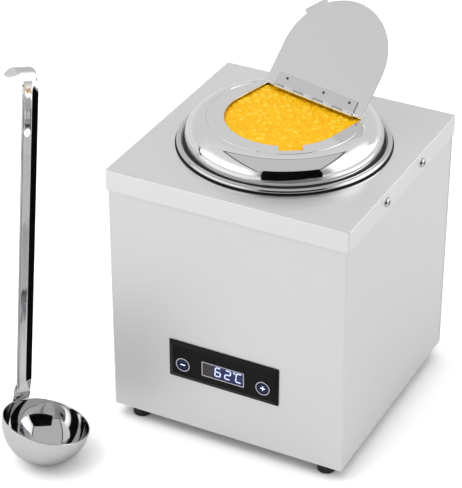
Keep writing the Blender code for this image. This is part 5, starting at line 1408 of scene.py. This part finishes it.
soup.data.materials.append(soup_finish())
print("soup finish", soup.data.materials[0].name)

# %% [markdown]
# ## Pieces that keep their solids
#
# The rear panel, the base plate and everything inside the case have flat or hidden shapes that the solids
# already give. They stay as they are and take a finish by their slot.

# %% Dress the remaining nodes
SLOT_FINISH = {
    "brushed_stainless": SIDE_STEEL,
    "polished_stainless": POT_STEEL,
    "hinge_stainless": HINGE_STEEL,
    "screw_steel": SCREW_STEEL,
    "galvanised_sheet": CLEAN_ZINC,
    "cast_aluminium": CAST_ALUMINIUM,
    "black_rubber": BLACK_RUBBER,
    "black_plastic": BLACK_PLASTIC,
    "smoked_window": WINDOW_GLASS,
    "button_blue": BUTTON_BLUE,
    "board_green": BOARD_GREEN,
    "insulation_wool": WOOL,
    "white_plastic": WHITE_PLASTIC,
    "lead_insulation": LEAD_RED,
}
slot_of = {part["node"]: part["material_slot"] for part in frame["record"]["subparts"]}
for name, node in frame["nodes"].items():
    node.data.materials.clear()
    node.data.materials.append(SLOT_FINISH[slot_of[name]])
print("nodes dressed", len(slot_of))

# %% [markdown]
# ## Studio
#
# Polished metal shows whatever stands round it, so the studio is part of the finish. Photographers light
# such a set with large white screens and a dark card behind the camera, which gives chrome its black
# band. Here the world plays the screens, as a brightness for each direction in space, and a real card
# stands in front. Matt surfaces get a plain soft light from above instead, so that the screens don't
# spoil them. The camera sees white, and the floor is white with the kettle's soft shadow.

# %% Make the floor
FLOOR_HALF = 8.0
FLOOR_TONE = (0.80, 0.80, 0.80, 1)
FLOOR_TONE_SEEN = (1.34, 1.34, 1.34, 1)
FLOOR_LIFT = 0.01


def floor_finish():
    """White floor: diffuse, so that it takes the shadow, and lifted to white for the camera and reflections."""
    made = bpy.data.materials.new("white floor")
    made.use_nodes = True
    tree = made.node_tree
    tree.nodes.clear()
    ray = tree.nodes.new("ShaderNodeLightPath").outputs
    seen = math_node(tree, "ADD", ray["Is Camera Ray"], ray["Is Glossy Ray"], clamp=True)
    seen = math_node(tree, "ADD", seen, ray["Is Transmission Ray"], clamp=True)
    tone = mix(tree, ray["Is Camera Ray"], FLOOR_TONE, FLOOR_TONE_SEEN, "RGBA")
    body = add(tree, "BsdfDiffuse", Color=tone)
    glow = add(tree, "Emission", Strength=math_node(tree, "MULTIPLY", seen, FLOOR_LIFT))
    both = tree.nodes.new("ShaderNodeAddShader")
    put(tree, both.inputs[0], body.outputs[0])
    put(tree, both.inputs[1], glow.outputs[0])
    add(tree, "OutputMaterial", Surface=both.outputs[0])
    return made


def flat_screen(name, corners, material):
    """A flat four-cornered screen of the studio."""
    mesh = bpy.data.meshes.new(name)
    mesh.from_pydata(corners, [], [(0, 1, 2, 3)])
    mesh.materials.append(material)
    screen = bpy.data.objects.new(name, mesh)
    bpy.context.scene.collection.objects.link(screen)
    print("screen", name)
    return screen


corners = ((-1, -1), (1, -1), (1, 1), (-1, 1))
flat_screen("floor", [(side * FLOOR_HALF, end * FLOOR_HALF, 0) for side, end in corners], floor_finish())

# %% Make the black card
CARD_AZIMUTH = -56
CARD_DISTANCE = 0.80
CARD_HALF_WIDTH = 0.50
CARD_TOP = 0.86
CARD_BLACK = grey(0.006)


def direction(azimuth, elevation):
    """Unit vector at an azimuth from +X towards +Y and an elevation, both in degrees."""
    a, e = radians(azimuth), radians(elevation)
    return Vector((cos(e) * cos(a), cos(e) * sin(a), sin(e)))


def card_finish():
    """Matt black, with a faint cloud as painted board has."""
    made, tree, shader = shader_of("matt black card", CARD_BLACK, 0.9, Specular_IOR_Level=0.0)
    vary_colour(tree, shader, CARD_BLACK, noise(tree, coordinates(tree), 3.0), 0.3)
    return made


def black_card():
    """A card that stands on the floor between camera and kettle. Only reflections show it."""
    out = direction(CARD_AZIMUTH, 0)
    across = Vector((-out.y, out.x, 0)) * CARD_HALF_WIDTH
    low = KETTLE.translation + out * CARD_DISTANCE
    high = low + Vector((0, 0, CARD_TOP))
    made = flat_screen("black_card", [low - across, low + across, high + across, high - across], card_finish())
    made.visible_camera = False
    made.visible_diffuse = False
    made.visible_transmission = False
    made.visible_shadow = False


black_card()

# %% Make the world
SOFT_HORIZON = 0.08
SOFT_ZENITH = 1.56
SIDE_LEVEL = 0.80
CEILING_LEVEL = 0.74
# Each screen: azimuth, elevation, half width and half height in degrees, brightness, softness of its edge.
STUDIO_SCREENS = (
    (-56, 5, 47, 30, 0.34, 0.35),
    (-132, 3, 34, 22, 1.45, 0.22),
    (28, 8, 28, 34, 2.4, 0.35),
    (117, 30, 60, 20, 0.69, 0.2),
    (-61, 70, 40.0, 42.4, 0.02, 0.01),
    (-61, 70, 37.5, 40.4, 0.59, 0.01),
)


def screen_mask(tree, vector, azimuth, elevation, half_width, half_height, soft):
    """Mask of a flat screen: the direction's two slopes in the screen's own axes, each held within its half size."""
    middle = direction(azimuth, elevation)
    right = Vector((0, 0, 1)).cross(middle).normalized()
    dots = []
    for axis in (middle, right, middle.cross(right)):
        dot = tree.nodes.new("ShaderNodeVectorMath")
        dot.operation = "DOT_PRODUCT"
        put(tree, dot.inputs[0], vector)
        put(tree, dot.inputs[1], axis)
        dots.append(dot.outputs["Value"])
    depth = math_node(tree, "MAXIMUM", dots[0], 0.0001)
    mask = ramp(tree, dots[0], 0.0, 0.02, 0.0, 1.0)
    for dot, half in zip(dots[1:], (half_width, half_height)):
        slope = math_node(tree, "ABSOLUTE", math_node(tree, "DIVIDE", dot, depth))
        edge = tan(radians(half))
        mask = math_node(tree, "MULTIPLY", mask, ramp(tree, slope, edge - soft, edge + soft, 1.0, 0.0))
    return mask


def studio_world():
    """White for the camera, an even soft light for matt surfaces, and a room of screens for reflections."""
    world = bpy.data.worlds.new("studio")
    bpy.context.scene.world = world
    world.use_nodes = True
    tree = world.node_tree
    tree.nodes.clear()
    vector = tree.nodes.new("ShaderNodeTexCoord").outputs["Generated"]
    up = add(tree, "SeparateXYZ", Vector=vector).outputs["Z"]
    level = ramp(tree, up, 0.45, 0.85, SIDE_LEVEL, CEILING_LEVEL)
    for *shape, brightness, soft in STUDIO_SCREENS:
        level = mix(tree, screen_mask(tree, vector, *shape, soft), level, brightness)
    height = math_node(tree, "MAXIMUM", up, 0.0)
    soft_light = ramp(tree, math_node(tree, "POWER", height, 2.0), 0.0, 1.0, SOFT_HORIZON, SOFT_ZENITH)
    ray = tree.nodes.new("ShaderNodeLightPath").outputs
    level = mix(tree, ray["Is Diffuse Ray"], level, soft_light)
    level = mix(tree, ray["Is Camera Ray"], level, 1.0)
    shown = add(tree, "Background", Color=(1, 1, 1, 1), Strength=level)
    add(tree, "OutputWorld", Surface=shown.outputs[0])
    print("world nodes", len(tree.nodes))


studio_world()


# %% Make the lamp
def screen_lamp(name, azimuth, elevation, distance, size, power):
    """A square area lamp that faces the kettle. It lights matt surfaces, and reflections don't show it."""
    data = bpy.data.lights.new(name, "AREA")
    data.shape = "SQUARE"
    data.size = size
    data.energy = power
    lamp = bpy.data.objects.new(name, data)
    out = direction(azimuth, elevation)
    lamp.location = KETTLE.translation + Vector((0, 0, CAP_TOP / 2)) + out * distance
    lamp.rotation_euler = out.to_track_quat("Z", "Y").to_euler()
    lamp.visible_glossy = False
    bpy.context.scene.collection.objects.link(lamp)
    print("lamp", name, power, "W")


screen_lamp("soft screen", -132, 52, 2.2, 1.4, 12)

# %% [markdown]
# ## Camera
#
# The camera's place, turn and lens were solved from the edges of the square case. Its place is given from
# the middle of the cover's top, and two of its axes give the third by a cross product.

# %% Make the camera
CAMERA_FROM_TOP = Vector((0.7438, -1.5608, 0.9518))
CAMERA_RIGHT = Vector((0.8897, 0.4565, 0.0))
CAMERA_UP = Vector((-0.2398, 0.4673, 0.8509))
camera_data = bpy.data.cameras.new("camera")
camera_data.sensor_fit = "VERTICAL"
camera_data.sensor_height = 36
camera_data.sensor_width = 36
camera_data.lens = 152.68
camera = bpy.data.objects.new("camera", camera_data)
camera_back = CAMERA_RIGHT.cross(CAMERA_UP).normalized()
camera_up = camera_back.cross(CAMERA_RIGHT).normalized()
turn = Matrix((CAMERA_RIGHT.normalized(), camera_up, camera_back)).transposed()
camera.matrix_world = Matrix.Translation(POT.translation + CAMERA_FROM_TOP) @ turn.to_4x4()
bpy.context.scene.collection.objects.link(camera)
bpy.context.scene.camera = camera
bpy.context.scene.view_settings.view_transform = "Standard"
print("camera", [round(value, 3) for value in camera.matrix_world.translation])
